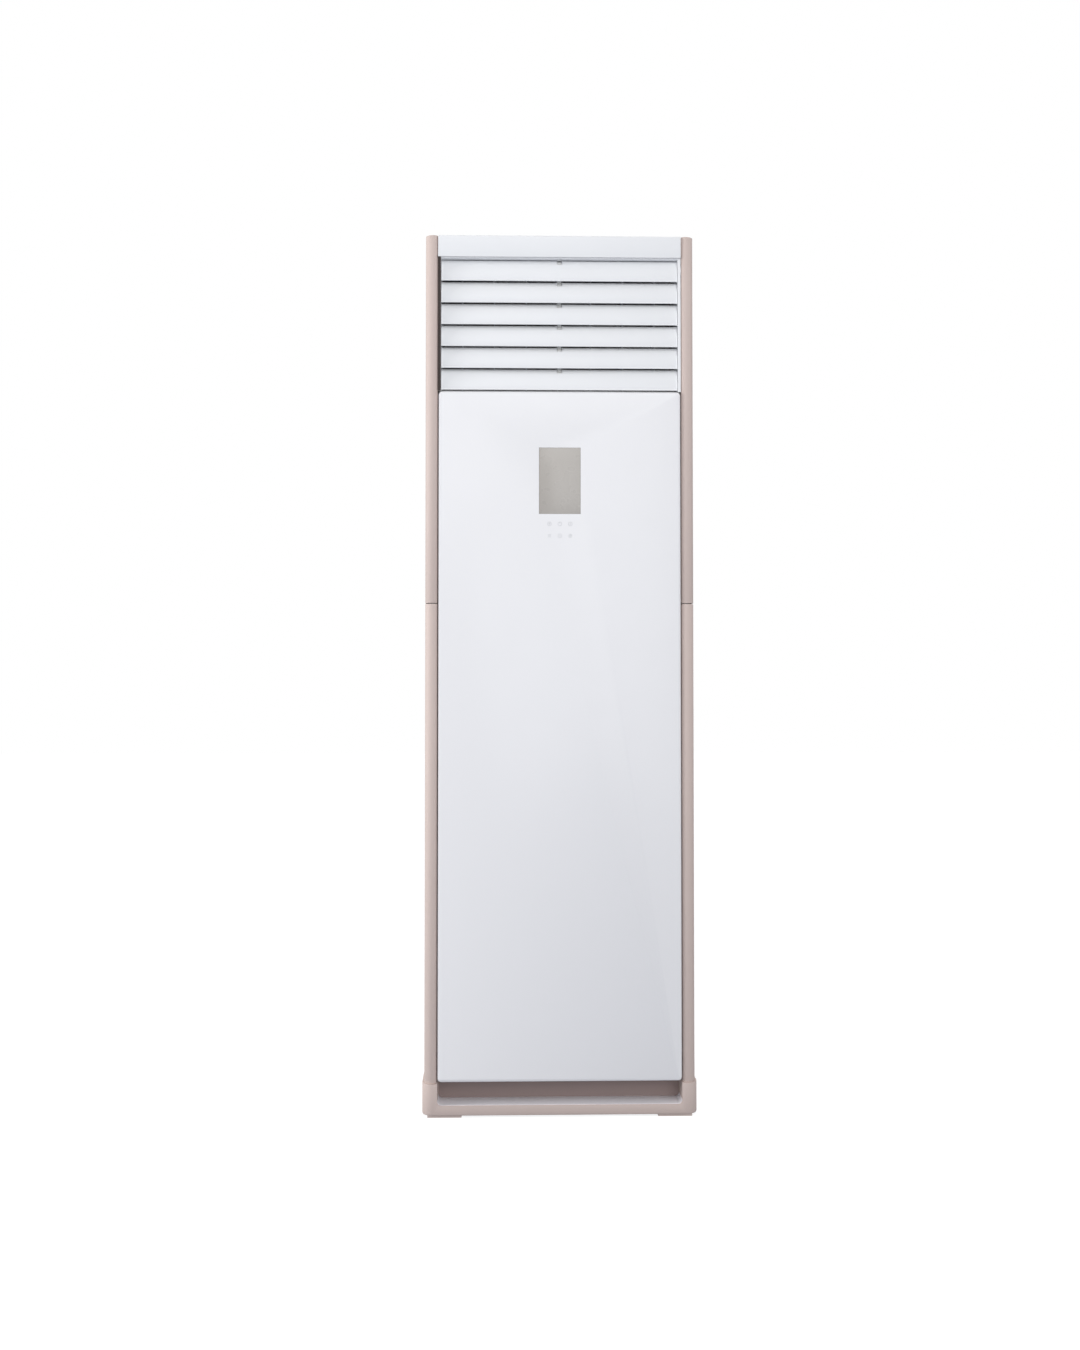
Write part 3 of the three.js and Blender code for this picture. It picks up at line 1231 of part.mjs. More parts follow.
// A plastic frame with cross bars over a thin screen.
function filter(side) {
  const x = [side * FILTER_OUTER, side * (FILTER_OUTER - FILTER_THICK)];
  const whole = block(x, [FILTER_Y0, FILTER_Y1], [FILTER_BOTTOM, FILTER_BOTTOM + FILTER_HEIGHT]);
  const border = 10;
  const bar = 4;
  const columns = 2;
  const rows = 6;
  const cellLength = (FILTER_Y1 - FILTER_Y0 - 2 * border - (columns - 1) * bar) / columns;
  const cellHeight = (FILTER_HEIGHT - 2 * border - (rows - 1) * bar) / rows;
  const cells = [];
  for (let column = 0; column < columns; column++) {
    for (let row = 0; row < rows; row++) {
      const y = FILTER_Y0 + border + column * (cellLength + bar);
      const z = FILTER_BOTTOM + border + row * (cellHeight + bar);
      const deep = [side * (FILTER_OUTER + 1), side * (FILTER_OUTER - FILTER_THICK + 0.8)];
      cells.push(block(deep, [y, y + cellLength], [z, z + cellHeight]));
    }
  }
  return cut(whole, cells);
}

// ---------------------------------------------------------------- assembly
const unit = new THREE.Group();

function place(parent, name, body, material) {
  const piece = mesh(name, body, material);
  parent.add(piece);
  return piece;
}

function buildCabinet() {
  const cabinet = new THREE.Group();
  place(cabinet, "base_pedestal", plinth(), taupePlastic);
  place(cabinet, "base_plate", basePlate(), galvanised);
  place(cabinet, "frame_post_left", post(-1), galvanised);
  place(cabinet, "frame_post_right", post(1), galvanised);
  place(cabinet, "side_panel_left", upperSidePanel(-1), taupePlastic);
  place(cabinet, "side_panel_right", upperSidePanel(1), taupePlastic);
  place(cabinet, "rear_panel", rearPanel(), paintedSteel);
  place(cabinet, "top_cover", topCover(), whitePlastic);
  place(cabinet, "front_panel", frontPanel(), whitePanel);
  place(cabinet, "display_window", displayWindow(), windowGrey);
  place(cabinet, "display_board", displayBoard(), circuitGreen);
  place(cabinet, "tilt_bracket", tiltBracket(), galvanised);
  place(cabinet, "cable_gland", gland(), darkPlastic);
  place(cabinet, "partition_plate", partitionPlate(), galvanised);
  return cabinet;
}

function buildOutlet() {
  const outlet = new THREE.Group();
  place(outlet, "outlet_duct", outletDuct(), whitePlastic);
  for (let i = 0; i < LOUVRE_COUNT; i++) {
    const blade = place(outlet, "louvre_" + (i + 1), louvre(), whitePlastic);
    blade.position.set(0, LOUVRE_Y, louvreZ(i));
    blade.rotation.x = -THREE.MathUtils.degToRad(LOUVRE_TILT);
  }
  const crank = new THREE.Vector3(0, CRANK_BACK, CRANK_UP);
  crank.applyAxisAngle(new THREE.Vector3(1, 0, 0), -THREE.MathUtils.degToRad(LOUVRE_TILT));
  const link = place(outlet, "louvre_link", louvreLink(), whitePlastic);
  link.position.set(0, LOUVRE_Y + crank.y, louvreZ(0) + crank.z);
  const middle = (DUCT_INNER_BOTTOM + DUCT_INNER_TOP) / 2;
  for (let i = 0; i < VANE_COUNT; i++) {
    place(outlet, "vane_" + (i + 1), vane(), darkPlastic).position.set(vaneX(i), VANE_Y, middle);
  }
  place(outlet, "vane_link", vaneLink(), darkPlastic).position.set(vaneX(0), VANE_Y + VANE_CRANK, middle);
  const louvreMotor = place(outlet, "louvre_motor", smallMotor(), galvanised);
  louvreMotor.position.set(DUCT_HALF + SEAT, LOUVRE_Y, louvreZ(0));
  louvreMotor.rotation.set(Math.PI / 2, Math.PI / 2, 0);
  const vaneMotor = place(outlet, "vane_motor", smallMotor(), galvanised);
  vaneMotor.position.set(vaneX(0), VANE_Y, DUCT_TOP + SEAT);
  vaneMotor.rotation.z = Math.PI / 2;
  return outlet;
}

function buildFan() {
  const blower = new THREE.Group();
  place(blower, "scroll_housing", scrollHousing(), galvanised);
  place(blower, "inlet_ring", inletRing(), galvanised);
  place(blower, "motor_mount", motorMount(), galvanised);
  place(blower, "fan_motor", fanMotor(), darkPlastic);
  const turning = new THREE.Group();
  turning.position.z = FAN_Z;
  place(turning, "fan_wheel", fanWheel(), aluminium);
  place(turning, "fan_shaft", fanShaft(), steel);
  place(turning, "fan_nut", fanNut(), steel);
  blower.add(turning);
  return blower;
}

function buildCoil() {
  const cooling = new THREE.Group();
  place(cooling, "coil_chamber", coilChamber(), galvanised);
  place(cooling, "drain_pan", drainPan(), whitePlastic);
  place(cooling, "drain_hose", drainHose(), hoseGrey);
  place(cooling, "gas_pipe", pipe(GAS_ROUTE, GAS_PIPE, PIPE_BEND), copper);
  place(cooling, "liquid_pipe", pipe(LIQUID_ROUTE, LIQUID_PIPE, PIPE_BEND, 6), copper);
  place(cooling, "gas_flare_nut", flareNut(GAS_ROUTE, GAS_PIPE), brass);
  place(cooling, "liquid_flare_nut", flareNut(LIQUID_ROUTE, LIQUID_PIPE), brass);
  const coil = new THREE.Group();
  coil.position.set(0, COIL_Y, COIL_Z);
  coil.rotation.x = -COIL_TILT;
  place(coil, "coil_fin_block", finBlock(), aluminium);
  place(coil, "coil_end_left", coilEndLeft(), galvanised);
  place(coil, "coil_end_right", coilEndRight(), galvanised);
  place(coil, "suction_header", suctionHeader(), copper);
  cooling.add(coil);
  return cooling;
}

function buildControls() {
  const controls = new THREE.Group();
  place(controls, "control_box", controlBox(), galvanised);
  place(controls, "control_box_cover", controlBoxCover(), galvanised);
  place(controls, "main_board", mainBoard(), circuitGreen);
  place(controls, "terminal_block", terminalBlock(), darkPlastic);
  place(controls, "capacitor", capacitor(), aluminium);
  return controls;
}

function buildInlets() {
  const inlets = new THREE.Group();
  for (const [side, name] of [
    [-1, "left"],
    [1, "right"],
  ]) {
    place(inlets, "inlet_panel_" + name, inletPanel(side), taupePlastic);
    place(inlets, "filter_" + name, filter(side), filterGrey);
  }
  return inlets;
}

unit.add(buildCabinet(), buildOutlet(), buildFan(), buildCoil(), buildControls(), buildInlets());

export default unit;
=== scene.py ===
import json
import math

import bmesh
import bpy
from mathutils import Matrix, Vector


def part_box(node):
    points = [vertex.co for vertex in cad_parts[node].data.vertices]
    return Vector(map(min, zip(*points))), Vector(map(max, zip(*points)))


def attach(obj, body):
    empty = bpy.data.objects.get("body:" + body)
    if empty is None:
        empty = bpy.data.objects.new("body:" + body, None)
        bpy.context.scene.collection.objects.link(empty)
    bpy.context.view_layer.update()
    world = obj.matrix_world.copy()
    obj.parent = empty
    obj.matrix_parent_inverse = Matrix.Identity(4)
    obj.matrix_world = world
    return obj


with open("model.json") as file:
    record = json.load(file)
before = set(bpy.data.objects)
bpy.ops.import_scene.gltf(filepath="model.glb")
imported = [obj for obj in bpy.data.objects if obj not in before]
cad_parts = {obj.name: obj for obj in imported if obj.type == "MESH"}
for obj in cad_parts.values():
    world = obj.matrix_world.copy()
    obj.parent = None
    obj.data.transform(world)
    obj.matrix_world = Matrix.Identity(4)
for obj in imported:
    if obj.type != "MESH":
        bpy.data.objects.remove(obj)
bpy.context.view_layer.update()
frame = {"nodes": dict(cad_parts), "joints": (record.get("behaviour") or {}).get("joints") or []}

# Metres. X runs across, Y from the front (-) to the back (+), Z up.
MM = 0.001

# ---------------------------------------------------------------- picture and light
PICTURE_HEIGHT = 1350  # pixels
SENSOR = 36  # millimetres, the height of the picture on it
FOCAL = 1496  # pixels
CAMERA_HEIGHT = 0.9
CAMERA_DISTANCE = 3.0  # from the plinth's front
CAMERA_YAW = 1.53  # degrees, towards +X
CAMERA_PITCH = 1.61  # degrees, upwards
CAMERA_AIM_X = -0.040  # where the axis meets the plane of the plinth's front
OBJECT_DROP = 52.3  # pixels from the axis down to the picture's middle

# Soft boxes: name, place, what it faces, width and height, watts
SOFT_BOXES = (
    ("key", (-4.6, -0.35, 1.75), (0, 0, 1.1), (2.2, 2.6), 150),  # tall, far to the left
    ("front", (0.8, -3.7, 1.35), (0, 0, 0.95), (2.6, 2.2), 38),  # large, beside the camera
    ("top", (0.3, -2.8, 3.0), (0, 0, 0.8), (2.4, 1.4), 26),  # above and in front
)
AMBIENT = (0.58, 0.5829, 0.5974, 1)  # light from all round
BACKDROP = (1, 1, 1, 1)
FLOOR_REACH = 12.0  # half the floor's width
FLOOR_LIT = (0.34, 0.36, 0.41, 1)  # what the object sees of the floor
FLOOR_SHADED = (0.30, 0.30, 0.305, 1)  # the part of the seen floor that a shadow takes away
FLOOR_GLOW = (0.85, 0.85, 0.85, 1)  # the part of it that stays

# ---------------------------------------------------------------- sizes and places, most from the frame
# Louvre blades, closed: tilt, half height, half length
LOUVRE_TILT = math.radians(15)
LOUVRE_HALF_CHORD = 21 * MM
LOUVRE_HALF = 238 * MM
LIP_HALF = 1.2 * MM  # half the thickness of a blade's rolled lower lip
LIP_DROP = 2.4 * MM  # how far it reaches below the blade
LIP_OVERLAP = 1 * MM
LIP_ROUNDING = 0.7 * MM
DISC_OVER = 0.2 * MM  # how far an end disc stands out round its blade
DISC_BULGES = (-7.5 * MM, 4.1 * MM)  # middle points that draw out its front and its back
DISC_OVERLAP = 2 * MM
DISC_GAP = 0.7 * MM  # left free to the duct's cheek

# Outlet duct: inner face of its cheeks, their outer face, its front edge
DUCT_INNER = 240 * MM
DUCT_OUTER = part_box("outlet_duct")[1].x
DUCT_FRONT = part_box("outlet_duct")[0].y
SHADE_STRIP_PROUD = 1.2 * MM  # how far the dark strip of painted shade stands in front of the duct

# Toe recess, as wide as the front panel: corner radius, heights of its ledge and its top, its back wall
TOE_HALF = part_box("front_panel")[1].x
TOE_CORNER = 8 * MM
TOE_LEDGE = 24 * MM
TOE_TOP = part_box("base_pedestal")[1].z
TOE_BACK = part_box("base_pedestal")[0].y + 58 * MM
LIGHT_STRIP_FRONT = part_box("base_pedestal")[0].y + 3 * MM  # behind the pedestal's rounded edge
LIGHT_STRIP_THICK = 0.8 * MM
# thickness of the plate of painted shade on the recess's back wall
SHADE_PLATE_THICK = 0.8 * MM

# Rear panel: height of its beads, its face between them, the pipe hole's X, Z and radius
BEAD_HEIGHT = 2 * MM
BACK_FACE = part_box("rear_panel")[1].y - BEAD_HEIGHT
PIPE_HOLE = (205 * MM, 170 * MM, 36 * MM)

# Screws at the back
SCREW_RADIUS = 3.6 * MM
SIDE_SCREWS = 8  # in each side row, this far in from the panel's side and its ends
SIDE_SCREW_IN = 9 * MM
SIDE_SCREW_END = 30 * MM
END_SCREWS = 4  # in each end row, over this half width, this far in from the panel's end
END_SCREW_REACH = 150 * MM
END_SCREW_IN = 12 * MM
BRACKET_SCREW_X = 10 * MM
BRACKET_SCREW_SUNK = 1.2 * MM

# Display window and the signs under it
WINDOW_FLANGE = 5 * MM  # how far the window reaches behind the panel all round
WINDOW_JOINT = 0.9 * MM
SIGN_ROWS = (20 * MM, 44 * MM)  # below the opening of the window
SIGN_COLUMNS = (-21 * MM, 0.0, 21 * MM)
SIGN_THICK = 0.15 * MM
SIGN_LINE = 0.8 * MM
SIGN_RADIUS = 4.2 * MM
SIGN_RADIUS_SMALL = 3.6 * MM
# Strokes of each sign: length in millimetres, lean in degrees, lift over its middle in millimetres
SIGN_STROKES = (
    (((4.4, 90, 0), (4.4, 0, 0)), ((3.4, 90, 1.6),), ((3.0, 90, 0.6), (2.4, 35, -0.6))),
    (((6.4, 0, 2.4), (6.4, 0, 0), (6.4, 0, -2.4)), ((3.6, 0, 0),), ((4.0, 45, 0), (4.0, -45, 0))),
)

# Radius of the rounded edges, in millimetres, by node
EDGE_ROUNDING = {
    "base_pedestal": 3.0,
    "side_panel_left": 0.6,
    "side_panel_right": 0.6,
    "inlet_panel_left": 0.6,
    "inlet_panel_right": 0.6,
    "top_cover": 0.8,
    "rear_panel": 0.5,
    "front_panel": 0.4,
    "display_window": 0.4,
    "outlet_duct": 0.5,
    "drain_pan": 0.8,
    "fan_motor": 1.0,
    "capacitor": 0.8,
    "terminal_block": 0.4,
    "cable_gland": 0.8,
    "gas_flare_nut": 0.8,
    "liquid_flare_nut": 0.8,
    "fan_nut": 0.8,
}
THIN_ROUNDING = 0.3  # for every other node
SHARP = math.radians(32)  # edges over this angle stay edges
FLAT = math.radians(0.3)  # faces under this angle to each other are one face
WELD = 0.01 * MM


# ---------------------------------------------------------------- node trees
def add(tree, kind, **values):
    """A shader node; values name its input sockets or its properties."""
    made = tree.nodes.new(kind)
    for name, value in values.items():
        label = name.replace("_", " ").lower()
        sockets = [s for s in made.inputs if s.name.lower() == label]
        if sockets:
            sockets[0].default_value = value
        else:
            setattr(made, name, value)
    return made


def material(name):
    made = bpy.data.materials.new(name)
    made.use_nodes = True
    tree = made.node_tree
    shader = tree.nodes["Principled BSDF"]
    place = add(tree, "ShaderNodeTexCoord")
    return made, tree, shader, place.outputs["Object"]


def stretched(tree, place, scale):
    mapping = add(tree, "ShaderNodeMapping")
    mapping.inputs["Scale"].default_value = scale
    tree.links.new(place, mapping.inputs["Vector"])
    return mapping.outputs["Vector"]


def noise(tree, place, scale, detail=3.0):
    made = add(tree, "ShaderNodeTexNoise", scale=scale, detail=detail)
    tree.links.new(place, made.inputs["Vector"])
    return made.outputs["Fac"]


def bands(tree, place, direction, pitch):
    """Sine bands, one for each pitch in metres."""
    scale = 2 * math.pi / (20 * pitch)
    made = add(tree, "ShaderNodeTexWave", scale=scale, bands_direction=direction)
    tree.links.new(place, made.inputs["Vector"])
    return made.outputs["Fac"]


def spread(tree, factor, low, high, start=0.3, end=0.7):
    """A factor from start to end, turned into a value from low to high."""
    made = add(tree, "ShaderNodeMapRange", from_min=start, from_max=end, to_min=low, to_max=high)
    tree.links.new(factor, made.inputs["Value"])
    return made.outputs["Result"]


def tint(tree, factor, first, second):
    """One colour to another; the colour sockets are told from the number sockets by their type."""
    made = add(tree, "ShaderNodeMix", data_type="RGBA")
    colours = [s for s in made.inputs if s.type == "RGBA"]
    colours[0].default_value = (*first, 1)
    colours[1].default_value = (*second, 1)
    tree.links.new(factor, made.inputs["Factor"])
    return [s for s in made.outputs if s.type == "RGBA"][0]


def relief(tree, shader, heights):
    """Bumps in a chain: (height socket, strength, depth in metres)."""
    normal = None
    for height, strength, depth in heights:
        bump = add(tree, "ShaderNodeBump", strength=strength, distance=depth)
        tree.links.new(height, bump.inputs["Height"])
        if normal is not None:
            tree.links.new(normal, bump.inputs["Normal"])
        normal = bump.outputs["Normal"]
    tree.links.new(normal, shader.inputs["Normal"])


def shade(colour, factor):
    return tuple(channel * factor for channel in colour)


# ---------------------------------------------------------------- materials
def moulded(name, colour, roughness, grain=0.25, wander=0.03, swell=0.12, coat=0.0, gloss=0.5):
    """Moulded plastic: slight clouding, a fine erosion texture, uneven gloss."""
    made, tree, shader, place = material(name)
    cloud = noise(tree, place, scale=5.0, detail=4.0)
    colours = tint(tree, cloud, shade(colour, 1 - wander), shade(colour, 1 + wander))
    tree.links.new(colours, shader.inputs["Base Color"])
    wear = noise(tree, place, scale=22.0, detail=5.0)
    tree.links.new(spread(tree, wear, roughness * 0.88, roughness * 1.12), shader.inputs["Roughness"])
    waves = noise(tree, place, scale=14.0, detail=1.0)
    fine = noise(tree, place, scale=900.0, detail=2.0)
    relief(tree, shader, [(waves, swell, 0.4 * MM), (fine, grain, 0.06 * MM)])
    shader.inputs["Specular IOR Level"].default_value = gloss
    shader.inputs["Coat Weight"].default_value = coat
    shader.inputs["Coat Roughness"].default_value = 0.18
    return made


def galvanised(name, colour=(0.56, 0.58, 0.60)):
    """Zinc spangle: crystal cells of slightly different tone and gloss."""
    made, tree, shader, place = material(name)
    cells = add(tree, "ShaderNodeTexVoronoi", scale=110.0)
    tree.links.new(place, cells.inputs["Vector"])
    tone = add(tree, "ShaderNodeSeparateColor")
    tree.links.new(cells.outputs["Color"], tone.inputs["Color"])
    colours = tint(tree, tone.outputs["Red"], shade(colour, 0.84), shade(colour, 1.08))
    tree.links.new(colours, shader.inputs["Base Color"])
    uneven = spread(tree, tone.outputs["Green"], 0.34, 0.52, start=0.0, end=1.0)
    tree.links.new(uneven, shader.inputs["Roughness"])
    relief(tree, shader, [(noise(tree, place, scale=700.0, detail=2.0), 0.15, 0.05 * MM)])
    shader.inputs["Metallic"].default_value = 0.9
    return made


def metal(name, colour, roughness, stretch=(1, 1, 1)):
    """Metal with fine drawn or turned lines along the axis that is stretched."""
    made, tree, shader, place = material(name)
    lines = noise(tree, stretched(tree, place, stretch), scale=400.0, detail=4.0)
    tree.links.new(tint(tree, lines, shade(colour, 0.9), shade(colour, 1.08)), shader.inputs["Base Color"])
    tree.links.new(spread(tree, lines, roughness * 0.8, roughness * 1.2), shader.inputs["Roughness"])
    relief(tree, shader, [(lines, 0.25, 0.04 * MM)])
    shader.inputs["Metallic"].default_value = 1.0
    return made


def powder_coat(name, colour):
    """Painted sheet steel with the coating's orange peel."""
    made, tree, shader, place = material(name)
    cloud = noise(tree, place, scale=4.0)
    tree.links.new(tint(tree, cloud, shade(colour, 0.96), shade(colour, 1.03)), shader.inputs["Base Color"])
    tree.links.new(spread(tree, noise(tree, place, scale=30.0), 0.38, 0.5), shader.inputs["Roughness"])
    relief(tree, shader, [(noise(tree, place, scale=520.0, detail=2.0), 0.35, 0.08 * MM)])
    return made


def fins(name):
    """A pack of thin aluminium fins, seen on edge."""
    made, tree, shader, place = material(name)
    edge = bands(tree, place, "X", pitch=1.8 * MM)
    tree.links.new(tint(tree, edge, (0.08, 0.08, 0.09), (0.72, 0.73, 0.75)), shader.inputs["Base Color"])
    shader.inputs["Metallic"].default_value = 0.9
    shader.inputs["Roughness"].default_value = 0.35
    relief(tree, shader, [(edge, 1.0, 0.8 * MM), (noise(tree, place, scale=60.0), 0.2, 0.4 * MM)])
    return made


def netting(name):
    """A woven net in a moulded frame: threads two ways over dark gaps."""
    made, tree, shader, place = material(name)
    along = bands(tree, place, "Y", pitch=1.6 * MM)
    upright = bands(tree, place, "Z", pitch=1.6 * MM)
    threads = add(tree, "ShaderNodeMath", operation="MAXIMUM")
    tree.links.new(along, threads.inputs[0])
    tree.links.new(upright, threads.inputs[1])
    drawn = spread(tree, threads.outputs["Value"], 0.0, 1.0, start=0.72, end=0.95)
    tree.links.new(tint(tree, drawn, (0.03, 0.03, 0.035), (0.20, 0.22, 0.24)), shader.inputs["Base Color"])
    shader.inputs["Roughness"].default_value = 0.7
    relief(tree, shader, [(drawn, 0.8, 0.3 * MM)])
    return made


def circuit(name):
    """Green solder mask over lighter tracks."""
    made, tree, shader, place = material(name)
    cells = add(tree, "ShaderNodeTexBrick", scale=120.0)
    tree.links.new(place, cells.inputs["Vector"])
    colours = tint(tree, cells.outputs["Fac"], (0.015, 0.10, 0.035), (0.05, 0.22, 0.08))
    tree.links.new(colours, shader.inputs["Base Color"])
    tree.links.new(spread(tree, noise(tree, place, scale=90.0), 0.3, 0.5), shader.inputs["Roughness"])
    relief(tree, shader, [(cells.outputs["Fac"], 0.4, 0.1 * MM)])
    return made


def smoked_glass(name, colour):
    """Tinted acrylic that covers an unlit display."""
    made, tree, shader, place = material(name)
    cloud = noise(tree, place, scale=9.0, detail=2.0)
    tree.links.new(tint(tree, cloud, shade(colour, 0.99), shade(colour, 1.01)), shader.inputs["Base Color"])
    tree.links.new(spread(tree, noise(tree, place, scale=40.0), 0.26, 0.30), shader.inputs["Roughness"])
    relief(tree, shader, [(noise(tree, place, scale=10.0, detail=1.0), 0.02, 0.1 * MM)])
    shader.inputs["Coat Weight"].default_value = 0.2
    shader.inputs["Coat Roughness"].default_value = 0.2
    return made


TAUPE = moulded("taupe_plastic", (0.585, 0.485, 0.445), 0.55, grain=0.3, gloss=0.28)
PANEL = moulded(
    "panel_gloss", (0.80, 0.80, 0.815), 0.32, grain=0.03, wander=0.0015, swell=0.012, coat=0.12, gloss=0.4
)
WHITE = moulded(
    "white_plastic", (0.79, 0.80, 0.815), 0.44, grain=0.12, wander=0.006, swell=0.05, gloss=0.35
)
BEZEL = moulded("window_edge", (0.30, 0.285, 0.27), 0.5, grain=0.05)
LINK = moulded("link_plastic", (0.82, 0.82, 0.80), 0.45, grain=0.15)
ICON = moulded("icon_print", (0.58, 0.585, 0.60), 0.4, grain=0.05)
# Near black for the strip beside the outlet's left end: painted shade.
LEFT_GAP_SHADE = moulded("left_gap_painted_shade", (0.060, 0.048, 0.044), 0.85, grain=0.6, gloss=0.2)
# Darker taupe for the plate on the toe recess's back wall: painted shade.
RECESS_SHADE = moulded("recess_painted_shade", (0.328, 0.254, 0.240), 0.6, grain=0.3, gloss=0.25)
# Light taupe for the toe recess's ledge: painted light.
LEDGE_PAINTED_LIGHT = moulded("ledge_painted_light", (0.86, 0.83, 0.86), 0.5, grain=0.2, wander=0.01, swell=0.04, gloss=0.35)
DARK = moulded("dark_plastic", (0.045, 0.046, 0.05), 0.5)
HOSE = moulded("hose_plastic", (0.62, 0.64, 0.65), 0.55)
RUBBER = moulded("rubber", (0.03, 0.03, 0.032), 0.75)
WINDOW = smoked_glass("window", (0.40, 0.375, 0.345))
ZINC = galvanised("galvanised")
PAINTED = powder_coat("powder_coat", (0.62, 0.58, 0.55))
ALUMINIUM = metal("aluminium", (0.72, 0.73, 0.75), 0.35, stretch=(1, 0.05, 1))
COPPER = metal("copper", (0.72, 0.36, 0.21), 0.3, stretch=(1, 1, 0.04))
BRASS = metal("brass", (0.72, 0.53, 0.24), 0.3, stretch=(1, 1, 0.05))
STEEL = metal("steel", (0.56, 0.57, 0.58), 0.28, stretch=(1, 0.05, 1))
FINS = fins("coil_fins")
NET = netting("filter_net")
BOARD = circuit("circuit_board")
SCREW = metal("screw_zinc", (0.62, 0.61, 0.58), 0.3)

NODE_MATERIALS = {
    TAUPE: "base_pedestal side_panel_left side_panel_right inlet_panel_left inlet_panel_right",
    PANEL: "front_panel",
    WHITE: "top_cover outlet_duct drain_pan louvre_1 louvre_2 louvre_3 louvre_4 louvre_5 louvre_6 "
    "vane_1 vane_2 vane_3 vane_4 vane_5 vane_6 vane_7 vane_link",
    LINK: "louvre_link",
    WINDOW: "display_window",
    ZINC: "base_plate frame_post_left frame_post_right tilt_bracket partition_plate louvre_motor "
    "vane_motor scroll_housing inlet_ring motor_mount coil_chamber coil_end_left coil_end_right "
    "control_box control_box_cover",
    PAINTED: "rear_panel",
    DARK: "cable_gland fan_motor terminal_block",
    ALUMINIUM: "fan_wheel capacitor",
    FINS: "coil_fin_block",
    COPPER: "gas_pipe liquid_pipe suction_header",
    BRASS: "gas_flare_nut liquid_flare_nut",
    STEEL: "fan_shaft fan_nut",
    BOARD: "display_board main_board",
    NET: "filter_left filter_right",
    HOSE: "drain_hose",
}


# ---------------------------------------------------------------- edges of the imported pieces
def smoothing_group():
    """Smooth faces, sharp edges over an angle."""
    group = bpy.data.node_groups.new("smooth_by_angle", "GeometryNodeTree")
    group.interface.new_socket("Geometry", in_out="INPUT", socket_type="NodeSocketGeometry")
    group.interface.new_socket("Geometry", in_out="OUTPUT", socket_type="NodeSocketGeometry")
    start = group.nodes.new("NodeGroupInput")
    end = group.nodes.new("NodeGroupOutput")
    faces = group.nodes.new("GeometryNodeSetShadeSmooth")
    edges = group.nodes.new("GeometryNodeSetShadeSmooth")
    edges.domain = "EDGE"
    angle = group.nodes.new("GeometryNodeInputMeshEdgeAngle")
    flat = group.nodes.new("FunctionNodeCompare")
    flat.operation = "LESS_THAN"
    flat.inputs["B"].default_value = SHARP
    group.links.new(start.outputs[0], faces.inputs["Geometry"])
    group.links.new(faces.outputs[0], edges.inputs["Geometry"])
    group.links.new(angle.outputs["Unsigned Angle"], flat.inputs["A"])
    group.links.new(flat.outputs["Result"], edges.inputs["Shade Smooth"])
    group.links.new(edges.outputs[0], end.inputs[0])
    return group


SMOOTHING = smoothing_group()


def soften(obj, rounding):
    weld = obj.modifiers.new("weld", "WELD")
    weld.merge_threshold = WELD
    flatten = obj.modifiers.new("flatten", "DECIMATE")
    flatten.decimate_type = "DISSOLVE"
    flatten.angle_limit = FLAT
    bevel = obj.modifiers.new("rounding", "BEVEL")
    bevel.width = rounding * MM
    bevel.segments = 3 if rounding > 2 else 2
    bevel.limit_method = "ANGLE"
    bevel.angle_limit = SHARP
    bevel.use_clamp_overlap = True
    smooth = obj.modifiers.new("smooth", "NODES")
    smooth.node_group = SMOOTHING


def dress_nodes():
    for made, names in NODE_MATERIALS.items():
        for name in names.split():
            obj = frame["nodes"][name]
            obj.data.materials.clear()
            obj.data.materials.append(made)
            soften(obj, EDGE_ROUNDING.get(name, THIN_ROUNDING))


# ---------------------------------------------------------------- shapes
# The way a piece made along Z is turned to face: out of the back, out of the front.
OUT_BACK = Matrix.Rotation(-math.pi / 2, 4, "X")
OUT_FRONT = Matrix.Rotation(math.pi / 2, 4, "X")


def new_mesh(name, build):
    mesh = bpy.data.meshes.new(name)
    bm = bmesh.new()
    build(bm)
    bmesh.ops.recalc_face_normals(bm, faces=bm.faces)
    bm.to_mesh(mesh)
    bm.free()
    return mesh


def piece(name, build, made, body):
    """A piece of one material that rides on a body."""
    mesh = new_mesh(name, build)
    mesh.materials.append(made)
    obj = bpy.data.objects.new(name, mesh)
    bpy.context.scene.collection.objects.link(obj)
    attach(obj, body)


def evenly(start, end, count):
    return [start + i * (end - start) / (count - 1) for i in range(count)]


def turned(bm, profile, matrix, segments=24):
    """A profile of (radius, height) turned about the local Z, open where the radius is not 0."""
    rings = []
    for radius, height in profile:
        if radius == 0:
            rings.append([bm.verts.new(matrix @ Vector((0, 0, height)))])
            continue
        ring_verts = []
        for i in range(segments):
            angle = 2 * math.pi * i / segments
            at = Vector((radius * math.cos(angle), radius * math.sin(angle), height))
            ring_verts.append(bm.verts.new(matrix @ at))
        rings.append(ring_verts)
    for low, high in zip(rings, rings[1:]):
        for i in range(segments):
            j = (i + 1) % segments
            corners = [low[i % len(low)], low[j % len(low)], high[j % len(high)], high[i % len(high)]]
            corners = list(dict.fromkeys(corners))
            if len(corners) > 2:
                bm.faces.new(corners).smooth = True


def slab(bm, low, high, matrix=Matrix()):
    """A box between two corners."""
    middle = (Vector(low) + Vector(high)) / 2
    size = Vector(high) - Vector(low)
    for v in bmesh.ops.create_cube(bm, size=1.0)["verts"]:
        v.co = matrix @ (v.co * size + middle)


def prism(bm, outline, low, high, place):
    """An outline of points (u, v) drawn out from low to high; place(u, v, w) gives a corner."""
    ends = [[bm.verts.new(place(u, v, w)) for u, v in outline] for w in (low, high)]
    bm.faces.new(ends[0])
    bm.faces.new(list(reversed(ends[1])))
    count = len(outline)
    for i in range(count):
        j = (i + 1) % count
        bm.faces.new((ends[0][i], ends[1][i], ends[1][j], ends[0][j]))


def curve(start, control, end, steps=8):
    """Points of a quadratic curve, the last one left out."""
    points = []
    for i in range(steps):
        t = i / steps
        a, b, c = (1 - t) ** 2, 2 * t * (1 - t), t * t
        points.append(tuple(a * s + b * m + c * e for s, m, e in zip(start, control, end)))
    return points


